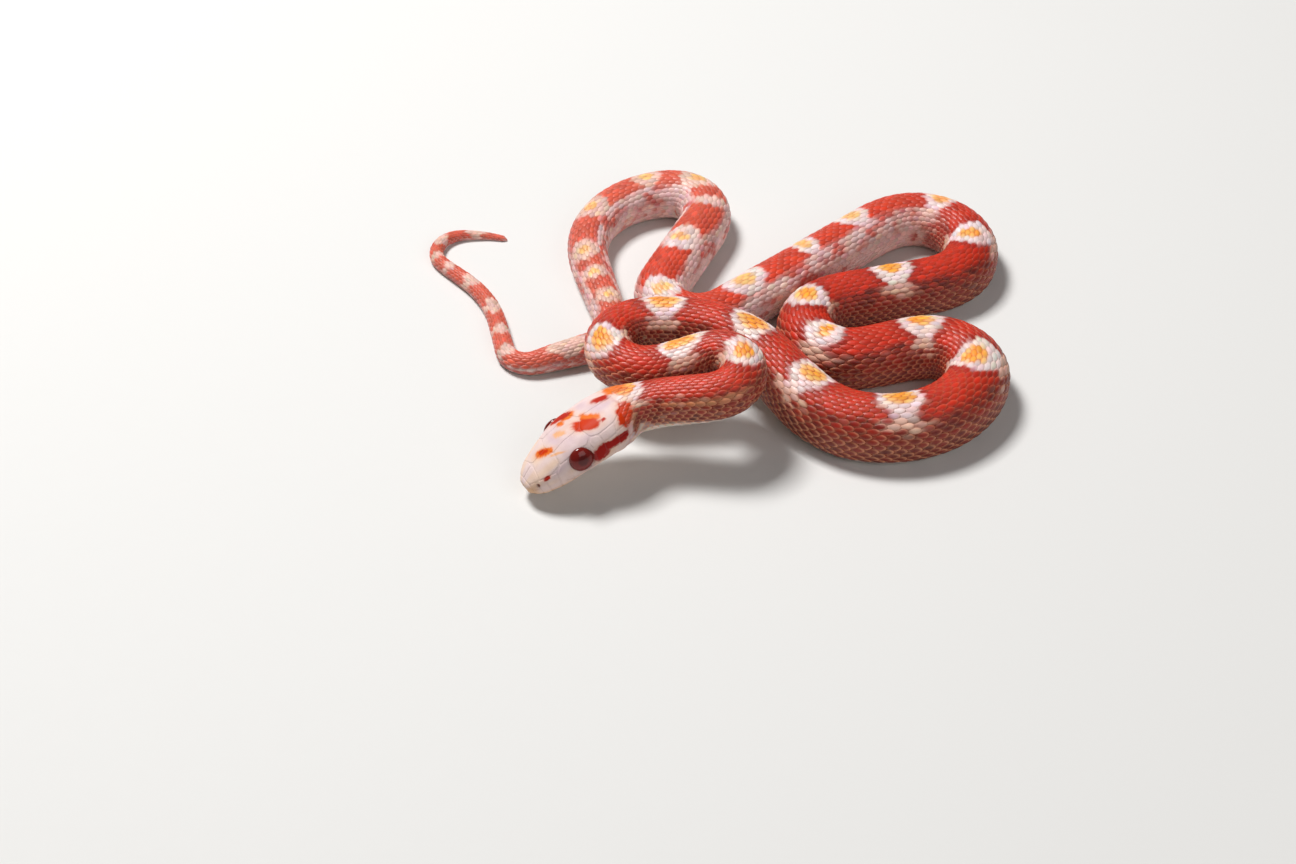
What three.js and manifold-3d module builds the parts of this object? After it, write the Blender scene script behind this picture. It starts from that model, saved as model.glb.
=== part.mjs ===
// A young corn snake at life size, lying still in loose coils with its mouth shut.
// Millimetres, +Z up. The belly lies on Z = 0 and the origin is under the middle of the coils.
// The snout points to -X and -Y. Every length of the body is a closed solid of its own,
// parted from the next by a thin cut.

import * as THREE from 'three';
import { mergeVertices } from 'three/addons/utils/BufferGeometryUtils.js';
import Module from 'manifold-3d';

const wasm = await Module();
wasm.setup();

// The course of the body, measured along the back from the snout tip.
// A bend turns the body to its left by `turn` degrees, spread over `over` mm round `at`.
const BODY_LENGTH = 303;
const SNOUT = { x: -20.6, y: -26.4, heading: 30 };
const BENDS = [
  { name: 'nape', at: 15, over: 7, turn: -31 },
  { name: 'neck hairpin', at: 28.5, over: 15, turn: 190 },
  { name: 'front coil', at: 47, over: 17, turn: -174 },
  { name: 'front coil runs out', at: 61.5, over: 22, turn: -67 },
  { name: 'lower loop begins', at: 87, over: 27, turn: 110 },
  { name: 'lower loop closes', at: 108, over: 23, turn: 208 },
  { name: 'inner hairpin', at: 122, over: 27, turn: -250 },
  { name: 'upper loop', at: 156.5, over: 28, turn: 205 },
  { name: 'bend under the coil', at: 198.5, over: 15, turn: -155 },
  { name: 'rear ring begins', at: 221, over: 12, turn: 79 },
  { name: 'rear ring closes', at: 231.5, over: 31, turn: 140 },
  { name: 'vent', at: 257.5, over: 6, turn: -85 },
  { name: 'tail bend', at: 269.2, over: 6, turn: -98 },
  { name: 'tail bows', at: 281.5, over: 11, turn: 31 },
  { name: 'tail curls', at: 294, over: 10, turn: -131 },
  { name: 'tail tip', at: 300.5, over: 4, turn: -16 },
];
// Share of a bend at each end in which it tightens and loosens.
const BEND_EASE = 0.2;
// Height of the belly above the floor. The neck lies on top of the coils and the head slopes
// down from it to the floor; all behind the front coil lies flat.
const LIFT = [[0, 0.1], [13, 4.5], [29, 7], [40, 4.7], [50, 4], [62, 3.6], [84, 0], [90, 0]];

// The head leans over to its left, which turns its right cheek upwards.
const ROLL = [[0, 8], [13, 8], [24, 0], [30, 0]];

// Half widths of the body from the neck to the tail tip.
const GIRTH = [
  [17, 2.75], [24, 2.7], [45, 2.85], [60, 3.05], [70, 3.4], [85, 3.85], [100, 3.75],
  [125, 3.45], [150, 3.3], [165, 3.2], [200, 3.1], [220, 3.0], [240, 2.5], [256, 2.0],
  [264, 1.65], [270, 1.25], [280, 1.05], [294, 0.8], [303, 0.32],
];
// The section is a rounded loaf: height to width, squareness of the belly, level of its flat.
const SECTION_TALL = 0.97;
const BELLY_SQUARE = 0.8;
const BELLY_FLAT = 0.85;
const SECTION_SIDES = 16;

// Head sizes by distance from the snout tip: half width, then crown, widest level and chin
// above the floor.
const HEAD_LENGTH = 17;
const SNOUT_ROUND = 2.2;
const HEAD_WIDTH = [
  [0, 1.95], [2.2, 2.7], [4, 3.3], [6, 3.7], [8, 4], [10.5, 4.15], [12.5, 3.8], [15, 3.05], [17, 2.75],
];
const HEAD_CROWN = [
  [0, 3.0], [2.2, 3.75], [4, 4.4], [6, 4.95], [9, 5.3], [12, 5.35], [15, 5.1], [17, 4.93],
];
const HEAD_WIDEST = [[0, 1.6], [6, 1.8], [11, 2.0], [17, 2.27]];
const HEAD_CHIN = [[0, 0.9], [2.2, 0.5], [4, 0.35], [12, 0.3], [15, 0.15], [17, 0]];
const HEAD_SIDES = 32;
const HEAD_STEP = 0.8;
const SNOUT_RINGS = 6;
// Squareness of the head's section at the crown and at the chin.
const CROWN_SQUARE = 0.8;
const CHIN_SQUARE = 0.72;
// The brow shields stand out over the eyes and a share as far up, and the lower lip is tucked in.
const BROW = { at: 6.9, reach: 1.8, angle: 52, spread: 20, height: 0.16, upShare: 0.5 };
const LIP = { tuck: 0.06, until: 11 };

// The mouth line in side view: distance from the snout, then height. It ends at the jaw corner
// and then drops through the throat.
const MOUTH_LINE = [
  [-1, 1.4], [0.5, 1.3], [2, 1.15], [4, 1.15], [6, 1.3], [8, 1.5], [9.8, 1.5], [11, 1.2],
  [11.9, 0.5], [12.3, -1],
];
// Wider than the head at its cheeks.
const MOUTH_CUT_WIDTH = 16;
const NOSTRIL = { at: 1.35, height: 2.45, sunk: 0.06, radius: 0.3, sides: 10, rows: 8 };
const EYE = {
  at: 6.9, height: 3.05, sunk: 0.55, tilt: 12, along: 1.3, up: 1.28, out: 1.05, sides: 20, rows: 14,
};

// Thin cut between solids that touch.
const GAP = 0.3;
// Largest step and turn between the sections of the body.
const LOFT_STEP = 2.4;
const LOFT_TURN = THREE.MathUtils.degToRad(15);
// Points closer than this are one.
const WELD = 1e-5;

// The lengths of the body and where each one ends.
const LENGTHS = [
  { name: 'neck', until: 28.5, colour: 0xb5382c },
  { name: 'trunk_front_1', until: 47, colour: 0xa93427 },
  { name: 'trunk_front_2', until: 72, colour: 0xb23527 },
  { name: 'trunk_middle_1', until: 97, colour: 0xad3226 },
  { name: 'trunk_middle_2', until: 122, colour: 0xb33628 },
  { name: 'trunk_middle_3', until: 156, colour: 0xb4382a },
  { name: 'trunk_rear_1', until: 198, colour: 0xb63c2c },
  { name: 'trunk_rear_2', until: 225, colour: 0xba4332 },
  { name: 'trunk_rear_3', until: 254, colour: 0xbb4836 },
  { name: 'tail_base', until: 268, colour: 0xc0604c },
  { name: 'tail_middle', until: 290, colour: 0xc77c6a },
  { name: 'tail_tip', until: BODY_LENGTH, colour: 0xc98878 },
];
const HEAD_COLOUR = 0xdcc4bc;
const JAW_COLOUR = 0xe6d6c8;
const EYE_COLOUR = 0x7d0d0a;
const SKIN_ROUGHNESS = 0.4;
const EYE_ROUGHNESS = 0.08;

const clamp01 = (t) => Math.min(1, Math.max(0, t));

// Value at s of a profile of [distance, size] pairs: a cubic through them that never overshoots.
function profile(pairs, s) {
  const last = pairs.length - 1;
  const slope = (i) => (pairs[i + 1][1] - pairs[i][1]) / (pairs[i + 1][0] - pairs[i][0]);
  const tangent = (i) => {
    if (i === 0) return slope(0);
    if (i === last) return slope(last - 1);
    const [before, after] = [slope(i - 1), slope(i)];
    return before * after > 0 ? (2 * before * after) / (before + after) : 0;
  };
  const found = pairs.findIndex(([at]) => at > s);
  const i = found < 0 ? last - 1 : Math.max(0, found - 1);
  const span = pairs[i + 1][0] - pairs[i][0];
  const t = clamp01((s - pairs[i][0]) / span);
  const rise = t * t * (3 - 2 * t);
  const bow = t * (1 - t) * span * ((1 - t) * tangent(i) - t * tangent(i + 1));
  return pairs[i][1] + rise * (pairs[i + 1][1] - pairs[i][1]) + bow;
}

// Share of a bend that lies behind a point: the curvature ramps up, holds and ramps down.
function bendShare(t) {
  const near = Math.min(clamp01(t), 1 - clamp01(t));
  const ramp = (near * near) / (2 * BEND_EASE * (1 - BEND_EASE));
  const share = near < BEND_EASE ? ramp : (near - BEND_EASE / 2) / (1 - BEND_EASE);
  return t < 0.5 ? share : 1 - share;
}

const headingAt = (s) => THREE.MathUtils.degToRad(
  BENDS.reduce((sum, { at, over, turn }) => sum + turn * bendShare((s - at) / over + 0.5), SNOUT.heading),
);

const liftAt = (s) => profile(LIFT, s);

// The belly line, walked out in short steps.
const SPINE_STEP = 0.25;
function walkSpine() {
  const points = [new THREE.Vector3(SNOUT.x, SNOUT.y, liftAt(0))];
  for (let s = 0; s < BODY_LENGTH; s += SPINE_STEP) {
    const heading = headingAt(s + SPINE_STEP / 2);
    const climb = liftAt(s + SPINE_STEP) - liftAt(s);
    const run = Math.sqrt(SPINE_STEP * SPINE_STEP - climb * climb);
    const last = points[points.length - 1];
    const step = new THREE.Vector3(run * Math.cos(heading), run * Math.sin(heading), climb);
    points.push(last.clone().add(step));
  }
  return points;
}
const SPINE = walkSpine();

// Place and directions of the belly line at distance s from the snout.
function frameAt(s) {
  const where = THREE.MathUtils.clamp(s / SPINE_STEP, 0, SPINE.length - 1);
  const index = Math.min(Math.floor(where), SPINE.length - 2);
  const origin = SPINE[index].clone().lerp(SPINE[index + 1], where - index);
  const heading = headingAt(s);
  const slope = (liftAt(s + SPINE_STEP) - liftAt(s - SPINE_STEP)) / (2 * SPINE_STEP);
  const level = Math.sqrt(1 - slope * slope);
  const ahead = new THREE.Vector3(Math.cos(heading) * level, Math.sin(heading) * level, slope);
  const left = new THREE.Vector3(-Math.sin(heading), Math.cos(heading), 0);
  left.applyAxisAngle(ahead, -THREE.MathUtils.degToRad(profile(ROLL, s)));
  const up = new THREE.Vector3().crossVectors(ahead, left);
  return { origin, ahead, left, up };
}

const placed = ({ origin, left, up }, side, height) =>
  origin.clone().addScaledVector(left, side).addScaledVector(up, height);

const signedPower = (value, power) => Math.sign(value) * Math.abs(value) ** power;

// One ring of the body at distance s, of half width girth(s).
function bodyRing(s) {
  const frame = frameAt(s);
  const half = profile(GIRTH, s);
  const tall = half * SECTION_TALL;
  return Array.from({ length: SECTION_SIDES }, (_, k) => {
    const angle = (2 * Math.PI * (k + 0.5)) / SECTION_SIDES;
    const power = Math.sin(angle) < 0 ? BELLY_SQUARE : 1;
    const side = half * signedPower(Math.cos(angle), power);
    const height = tall * Math.max(signedPower(Math.sin(angle), power), -BELLY_FLAT);
    return placed(frame, side, height + tall * BELLY_FLAT);
  });
}

// How far the head has opened out from the snout tip, as a quarter circle.
function snoutShare(s) {
  const t = clamp01(s / SNOUT_ROUND);
  return Math.sqrt(t * (2 - t));
}

const headSide = (s) => snoutShare(s) * profile(HEAD_WIDTH, s);

// Height of the mouth line at distance s.
const mouthAt = (s) => profile(MOUTH_LINE, s);

// A point on the head's skin: side and height in the frame at s.
function headPoint(s, angle) {
  const share = snoutShare(s);
  const widest = profile(HEAD_WIDEST, s);
  const cosine = Math.cos(angle);
  const sine = Math.sin(angle);
  const power = sine < 0 ? CHIN_SQUARE : CROWN_SQUARE;
  const reach = sine < 0 ? widest - profile(HEAD_CHIN, s) : profile(HEAD_CROWN, s) - widest;
  const offAngle = (THREE.MathUtils.radToDeg(Math.asin(Math.abs(sine))) - BROW.angle) / BROW.spread;
  const offPlace = (s - BROW.at) / BROW.reach;
  const brow = sine > 0 ? BROW.height * Math.exp(-offAngle * offAngle - offPlace * offPlace) : 0;
  const height = widest + share * reach * signedPower(sine, power);
  const tuck = s < LIP.until && height < mouthAt(s) ? 1 - LIP.tuck : 1;
  const side = headSide(s) * signedPower(cosine, power) * tuck;
  return [side + brow * Math.sign(cosine), height + brow * BROW.upShare];
}

function headRing(s) {
  const frame = frameAt(s);
  return Array.from({ length: HEAD_SIDES }, (_, k) => {
    const angle = (2 * Math.PI * (k + 0.5)) / HEAD_SIDES;
    return placed(frame, ...headPoint(s, angle));
  });
}

// A closed solid through rings of equal count, each end closed by a fan round its middle.
function loft(rings) {
  const sides = rings[0].length;
  const points = rings.flat();
  const index = [];
  for (let row = 0; row + 1 < rings.length; row += 1) {
    for (let k = 0; k < sides; k += 1) {
      const a = row * sides + k;
      const b = row * sides + ((k + 1) % sides);
      index.push(a, b, b + sides, a, b + sides, a + sides);
    }
  }
  for (const [row, flip] of [[0, true], [rings.length - 1, false]]) {
    const middle = points.length;
    const sum = rings[row].reduce((total, p) => total.add(p), new THREE.Vector3());
    points.push(sum.divideScalar(sides));
    for (let k = 0; k < sides; k += 1) {
      const a = row * sides + k;
      const b = row * sides + ((k + 1) % sides);
      index.push(...(flip ? [middle, b, a] : [middle, a, b]));
    }
  }
  const geometry = new THREE.BufferGeometry().setFromPoints(points);
  geometry.setIndex(index);
  return geometry;
}

// Places of the sections between two distances: closer together where the body turns.
function stations(from, until) {
  const list = [from];
  for (let s = from; s < until - SPINE_STEP; s += SPINE_STEP) {
    const last = list[list.length - 1];
    const turned = Math.abs(headingAt(s) - headingAt(last));
    if (s - last >= LOFT_STEP || turned >= LOFT_TURN) list.push(s);
  }
  return [...list, until];
}

function toSolid(geometry) {
  const bare = geometry.clone();
  bare.deleteAttribute('normal');
  bare.deleteAttribute('uv');
  const merged = mergeVertices(bare, WELD);
  return new wasm.Manifold(new wasm.Mesh({
    numProp: 3,
    vertProperties: new Float32Array(merged.attributes.position.array),
    triVerts: new Uint32Array(merged.index.array),
  }));
}

function toGeometry(solid) {
  const mesh = solid.getMesh();
  const geometry = new THREE.BufferGeometry();
  geometry.setAttribute('position', new THREE.BufferAttribute(new Float32Array(mesh.vertProperties), 3));
  geometry.setIndex([...mesh.triVerts]);
  return geometry;
}

// Matrix that stands a drawing on the head: its X runs ahead, its Y up, its Z to the right.
function headMatrix(s, side, height) {
  const frame = frameAt(s);
  const right = frame.left.clone().negate();
  const origin = placed(frame, side, height);
  return new THREE.Matrix4().makeBasis(frame.ahead, frame.up, right).setPosition(origin);
}

function headSolid() {
  const rings = [];
  for (let ring = 1; ring < SNOUT_RINGS; ring += 1) {
    rings.push(SNOUT_ROUND * (1 - Math.cos((ring / SNOUT_RINGS) * (Math.PI / 2))));
  }
  for (let s = SNOUT_ROUND; s < HEAD_LENGTH - GAP; s += HEAD_STEP) rings.push(s);
  rings.push(HEAD_LENGTH - GAP / 2);
  return toSolid(loft(rings.map(headRing)));
}

// A thin wall along the mouth line, across the whole head.
function mouthCut() {
  const line = MOUTH_LINE.map(([x, y]) => new THREE.Vector2(x, y));
  const offset = (sign) => line.map((point, k) => {
    const before = line[Math.max(0, k - 1)];
    const after = line[Math.min(line.length - 1, k + 1)];
    const along = after.clone().sub(before).normalize();
    return new THREE.Vector2(point.x - sign * along.y * GAP / 2, point.y + sign * along.x * GAP / 2);
  });
  const outline = new THREE.Shape([...offset(-1), ...offset(1).reverse()]);
  const wall = new THREE.ExtrudeGeometry(outline, { depth: MOUTH_CUT_WIDTH, bevelEnabled: false });
  return toSolid(wall.applyMatrix4(headMatrix(0, MOUTH_CUT_WIDTH / 2, 0)));
}

// An ellipsoid on one side of the head, `grown` larger all round.
function eyeball(sign, grown) {
  const ball = new THREE.SphereGeometry(1, EYE.sides, EYE.rows);
  ball.scale(EYE.along + grown, EYE.up + grown, EYE.out + grown);
  const tilt = new THREE.Matrix4().makeRotationX(THREE.MathUtils.degToRad(sign * EYE.tilt));
  const side = sign * (headSide(EYE.at) - EYE.sunk);
  return toSolid(ball.applyMatrix4(headMatrix(EYE.at, side, EYE.height).multiply(tilt)));
}

function nostril(sign) {
  const pit = new THREE.SphereGeometry(NOSTRIL.radius, NOSTRIL.sides, NOSTRIL.rows);
  const side = sign * (headSide(NOSTRIL.at) - NOSTRIL.sunk);
  return toSolid(pit.applyMatrix4(headMatrix(NOSTRIL.at, side, NOSTRIL.height)));
}

// Keeps the pieces of a solid in order of size, largest first.
const bySize = (solid) => solid.decompose().sort((a, b) => b.volume() - a.volume());

const snake = new THREE.Group();

function addPiece(name, geometry, colour, roughness) {
  const material = new THREE.MeshStandardMaterial({ color: colour, roughness, metalness: 0 });
  const mesh = new THREE.Mesh(geometry, material);
  mesh.name = name;
  snake.add(mesh);
}

function addHead() {
  let head = headSolid().subtract(mouthCut());
  for (const sign of [1, -1]) {
    head = head.subtract(eyeball(sign, GAP)).subtract(nostril(sign));
  }
  const [skull, jaw] = bySize(head);
  addPiece('head', toGeometry(skull), HEAD_COLOUR, SKIN_ROUGHNESS);
  addPiece('lower_jaw', toGeometry(jaw), JAW_COLOUR, SKIN_ROUGHNESS);
  addPiece('eye_left', toGeometry(eyeball(1, 0)), EYE_COLOUR, EYE_ROUGHNESS);
  addPiece('eye_right', toGeometry(eyeball(-1, 0)), EYE_COLOUR, EYE_ROUGHNESS);
}

function addBody() {
  let from = HEAD_LENGTH;
  for (const { name, until, colour } of LENGTHS) {
    const end = until === BODY_LENGTH ? until : until - GAP / 2;
    const rings = stations(from + GAP / 2, end).map(bodyRing);
    addPiece(name, loft(rings), colour, SKIN_ROUGHNESS);
    from = until;
  }
}

addHead();
addBody();

export default snake;
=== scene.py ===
"""A young corn snake at rest in loose coils: its skin, scales, head shields, belly plates and eyes.

Sizes are in millimetres along and round the body, and become metres where a mesh is made.
A place on the skin has two numbers: s, the distance from the snout along the body, and phi, the angle
round it, which is none along the middle of the back and a half turn along the middle of the belly.
"""

import logging
import math
from dataclasses import dataclass, field
from enum import Enum

import bpy
import numpy as np
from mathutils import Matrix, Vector


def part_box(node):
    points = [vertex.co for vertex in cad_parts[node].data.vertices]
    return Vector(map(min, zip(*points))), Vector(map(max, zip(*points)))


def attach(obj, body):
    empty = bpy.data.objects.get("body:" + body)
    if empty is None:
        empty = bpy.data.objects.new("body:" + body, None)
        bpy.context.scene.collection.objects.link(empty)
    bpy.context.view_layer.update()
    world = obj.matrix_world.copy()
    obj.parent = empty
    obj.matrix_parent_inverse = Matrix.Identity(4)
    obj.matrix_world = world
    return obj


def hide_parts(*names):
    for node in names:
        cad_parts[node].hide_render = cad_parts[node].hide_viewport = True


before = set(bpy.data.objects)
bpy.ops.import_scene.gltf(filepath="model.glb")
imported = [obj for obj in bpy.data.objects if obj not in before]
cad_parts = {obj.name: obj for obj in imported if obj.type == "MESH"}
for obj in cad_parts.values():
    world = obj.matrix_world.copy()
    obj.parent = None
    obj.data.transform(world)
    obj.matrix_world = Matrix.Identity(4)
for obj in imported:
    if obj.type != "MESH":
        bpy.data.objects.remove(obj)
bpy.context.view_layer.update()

log = logging.getLogger("corn_snake")

MM = 0.001
FLESH_NODES = (
    "head", "lower_jaw", "neck",
    "trunk_front_1", "trunk_front_2",
    "trunk_middle_1", "trunk_middle_2", "trunk_middle_3",
    "trunk_rear_1", "trunk_rear_2", "trunk_rear_3",
    "tail_base", "tail_middle", "tail_tip",
)
# A random field repeats after so many cells.
CLOUD_CELLS = 256
# The rim left free round a bake map, and the size of each scale's patch on it, as shares of the map.
MAP_MARGIN = 0.02
MAP_PATCH = 0.0015

Array = np.ndarray
# Two numbers that belong together, such as a place and an angle, or a place and a size.
Pair = tuple[float, float]
# Where an eased step begins and where it ends.
Span = tuple[float, float]
# Rows of a place along the body and a size there.
Table = tuple[Pair, ...]
# Red, green, blue and alpha, as light.
Tone = tuple[float, float, float, float]


def along(table: Table, s: Array) -> Array:
    """A smooth size along the body, from a few rows of a place and a size.

    Between two rows runs a cubic. Its slope at a row is the harmonic mean of the straight slopes on
    both sides, or none where they turn, so the curve never swings past the rows.

    Args:
        table: Rows of a place in millimetres and the size there.
        s: Places to read.

    Returns:
        The size at each place, held level past the ends.
    """
    places, sizes = np.array(table, float).T
    slopes = np.diff(sizes) / np.diff(places)
    same = slopes[:-1] * slopes[1:] > 0
    total = np.where(same, slopes[:-1] + slopes[1:], 1.0)
    tangents = np.concatenate(
        [slopes[:1], np.where(same, 2 * slopes[:-1] * slopes[1:] / total, 0.0), slopes[-1:]]
    )
    k = np.clip(np.searchsorted(places, s, side="right") - 1, 0, len(places) - 2)
    span = places[k + 1] - places[k]
    t = np.clip((s - places[k]) / span, 0, 1)
    rise = t * t * (3 - 2 * t) * (sizes[k + 1] - sizes[k])
    return sizes[k] + rise + t * (1 - t) * span * ((1 - t) * tangents[k] - t * tangents[k + 1])


def wrap(phi: Array) -> Array:
    """The angle from the middle of the back, between a half turn one way and a half turn the other."""
    return (phi + np.pi) % (2 * np.pi) - np.pi


def signed_power(x: Array, power: Array | float) -> Array:
    """The size of x raised to a power, with the sign of x kept."""
    return np.sign(x) * np.abs(x) ** power


def step_up(x: Array, low: float, high: float) -> Array:
    """An eased step from 0 at low to 1 at high: 3 t squared less 2 t cubed."""
    t = np.clip((x - low) / (high - low), 0, 1)
    return t * t * (3 - 2 * t)


def unit(v: Array) -> Array:
    """Vectors in the last axis, each brought to length one."""
    return v / (np.linalg.norm(v, axis=-1, keepdims=True) + 1e-12)


def bands(count: int, rings: int, first: int = 0) -> Array:
    """The quads between rings of points that follow one another.

    Args:
        count: Points in each ring.
        rings: How many rings there are.
        first: The number of the first ring's first point.

    Returns:
        Four corners for each quad.
    """
    ring = np.arange(count)
    after = (ring + 1) % count
    inner = first + np.arange(rings - 1)[:, None] * count
    quads = np.stack([inner + ring, inner + after, inner + count + after, inner + count + ring], -1)
    return quads.reshape(-1, 4)


def cushion_faces(count: int, rings: int) -> list[Array]:
    """The faces of a low cushion: rings of points round a middle point, the last ring underneath.

    Args:
        count: Points in each ring.
        rings: How many rings there are.

    Returns:
        Three arrays of corners: a fan of triangles, bands of quads, and one face for the underside.
    """
    ring = np.arange(count)
    after = (ring + 1) % count
    fan = np.stack([np.zeros_like(ring), 1 + after, 1 + ring], -1)
    under = (1 + (rings - 1) * count + ring)[None]
    return [fan, bands(count, rings, 1), under]


def tube_faces(count: int, rings: int) -> list[Array]:
    """The faces of a closed tube: rings of points, and after them one point that closes each end.

    Args:
        count: Points in each ring.
        rings: How many rings there are.

    Returns:
        Three arrays of corners: bands of quads, and the fans of triangles at the start and at the end.
    """
    ring = np.arange(count)
    after = (ring + 1) % count
    total = rings * count
    last = total - count
    start_fan = np.stack([np.full(count, total), after, ring], -1)
    end_fan = np.stack([np.full(count, total + 1), last + ring, last + after], -1)
    return [bands(count, rings), start_fan, end_fan]


def repeated(faces: list[Array], copies: int, points: int) -> list[Array]:
    """The faces of many alike pieces whose points follow one another.

    Args:
        faces: The faces of one piece.
        copies: How many pieces there are.
        points: How many points each has.

    Returns:
        The faces of them all, grouped as those of the one.
    """
    first = np.arange(copies)[:, None, None] * points
    return [(first + face).reshape(-1, face.shape[1]) for face in faces]


def bake_plan(s: Array, up: Array, x: Array, y: Array) -> Array:
    """Where many small pieces have their colours baked: each a small patch on the skin laid out flat.

    Its middle lies across the map as s lies between the first piece and the last.

    Args:
        s: Places of the pieces along the body.
        up: How far up the map each lies, between 0 and 1.
        x: A piece's own points along the body.
        y: A piece's own points round it.

    Returns:
        Two coordinates between 0 and 1 for each point of each piece.
    """
    across = MAP_MARGIN + (1 - 2 * MAP_MARGIN) * (s - s.min()) / (s.max() - s.min())
    plan = np.stack([across[:, None] + MAP_PATCH * x, up[:, None] + MAP_PATCH * y], -1)
    return plan.reshape(-1, 2)


def placed(name: str, data: bpy.types.ID) -> bpy.types.Object:
    """Puts an object into the scene.

    Args:
        name: The object's name.
        data: The mesh, lamp or camera that it holds.

    Returns:
        The object.
    """
    made = bpy.data.objects.new(name, data)
    bpy.context.scene.collection.objects.link(made)
    return made


@dataclass(frozen=True)
class Bend:
    """One bend of the body: its middle, the length that it takes, and the turn in degrees."""

    at: float
    over: float
    turn: float


@dataclass
class Stance:
    """Where the body is at some places, and its directions there: rows of points and of unit vectors."""

    origin: Array
    ahead: Array
    left: Array
    up: Array


@dataclass
class Course:
    """The line under the belly from the snout to the tip of the tail, the same as the solids follow."""

    body_length: float = 303.0
    snout: tuple[float, float] = (-20.6, -26.4)
    heading_at_snout: float = 30.0
    bends: tuple[Bend, ...] = (
        Bend(15, 7, -31),
        Bend(28.5, 15, 190),
        Bend(47, 17, -174),
        Bend(61.5, 22, -67),
        Bend(87, 27, 110),
        Bend(108, 23, 208),
        Bend(122, 27, -250),
        Bend(156.5, 28, 205),
        Bend(198.5, 15, -155),
        Bend(221, 12, 79),
        Bend(231.5, 31, 140),
        Bend(257.5, 6, -85),
        Bend(269.2, 6, -98),
        Bend(281.5, 11, 31),
        Bend(294, 10, -131),
        Bend(300.5, 4, -16),
    )
    lift: Table = ((0, 0.1), (13, 4.5), (29, 7), (40, 4.7), (50, 4), (62, 3.6), (84, 0), (90, 0))
    roll: Table = ((0, 8), (13, 8), (24, 0), (30, 0))
    ease: float = 0.2
    step: float = 0.25
    places: Array = field(init=False)
    walked: Array = field(init=False)

    def __post_init__(self) -> None:
        """Walks the course once, so that any place on it can be read from the steps."""
        starts = np.arange(0, self.body_length + self.step, self.step)
        climb = along(self.lift, starts + self.step) - along(self.lift, starts)
        run = np.sqrt(self.step**2 - climb**2)
        way = self.heading(starts + self.step / 2)
        self.places = np.append(starts, starts[-1] + self.step)
        east = self.snout[0] + np.append(0, np.cumsum(run * np.cos(way)))
        north = self.snout[1] + np.append(0, np.cumsum(run * np.sin(way)))
        self.walked = np.stack([east, north, along(self.lift, self.places)], -1)

    def heading(self, s: Array) -> Array:
        """The compass angle of the course at s, in radians.

        Each bend adds its turn times a share that goes from 0 to 1 over its length. The bend tightens
        over the first fifth of that length, holds, and slackens over the last fifth.

        Args:
            s: Places along the body.

        Returns:
            The angle from +X towards +Y.
        """
        total = np.full(np.shape(s), self.heading_at_snout, float)
        for bend in self.bends:
            t = np.clip((s - bend.at) / bend.over + 0.5, 0, 1)
            u = np.minimum(t, 1 - t)
            held = (u - self.ease / 2) / (1 - self.ease)
            share = np.where(u < self.ease, u * u / (2 * self.ease * (1 - self.ease)), held)
            total += bend.turn * np.where(t < 0.5, share, 1 - share)
        return np.radians(total)

    def stance(self, s: Array) -> Stance:
        """Where the body is at s, with its directions.

        Ahead follows the heading and the slope of the lift. Left is level and square to it, and both
        left and up are turned about ahead by the roll.

        Args:
            s: Places along the body.

        Returns:
            The stance at each place.
        """
        origin = np.stack([np.interp(s, self.places, self.walked[:, k]) for k in range(3)], -1)
        way = self.heading(s)
        slope = (along(self.lift, s + self.step) - along(self.lift, s - self.step)) / (2 * self.step)
        level = np.sqrt(1 - slope**2)
        ahead = np.stack([np.cos(way) * level, np.sin(way) * level, slope], -1)
        flat = np.stack([-np.sin(way), np.cos(way), 0 * way], -1)
        turn = np.radians(along(self.roll, s))[..., None]
        left = flat * np.cos(turn) - np.cross(ahead, flat) * np.sin(turn)
        return Stance(origin, ahead, left, np.cross(ahead, left))


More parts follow.
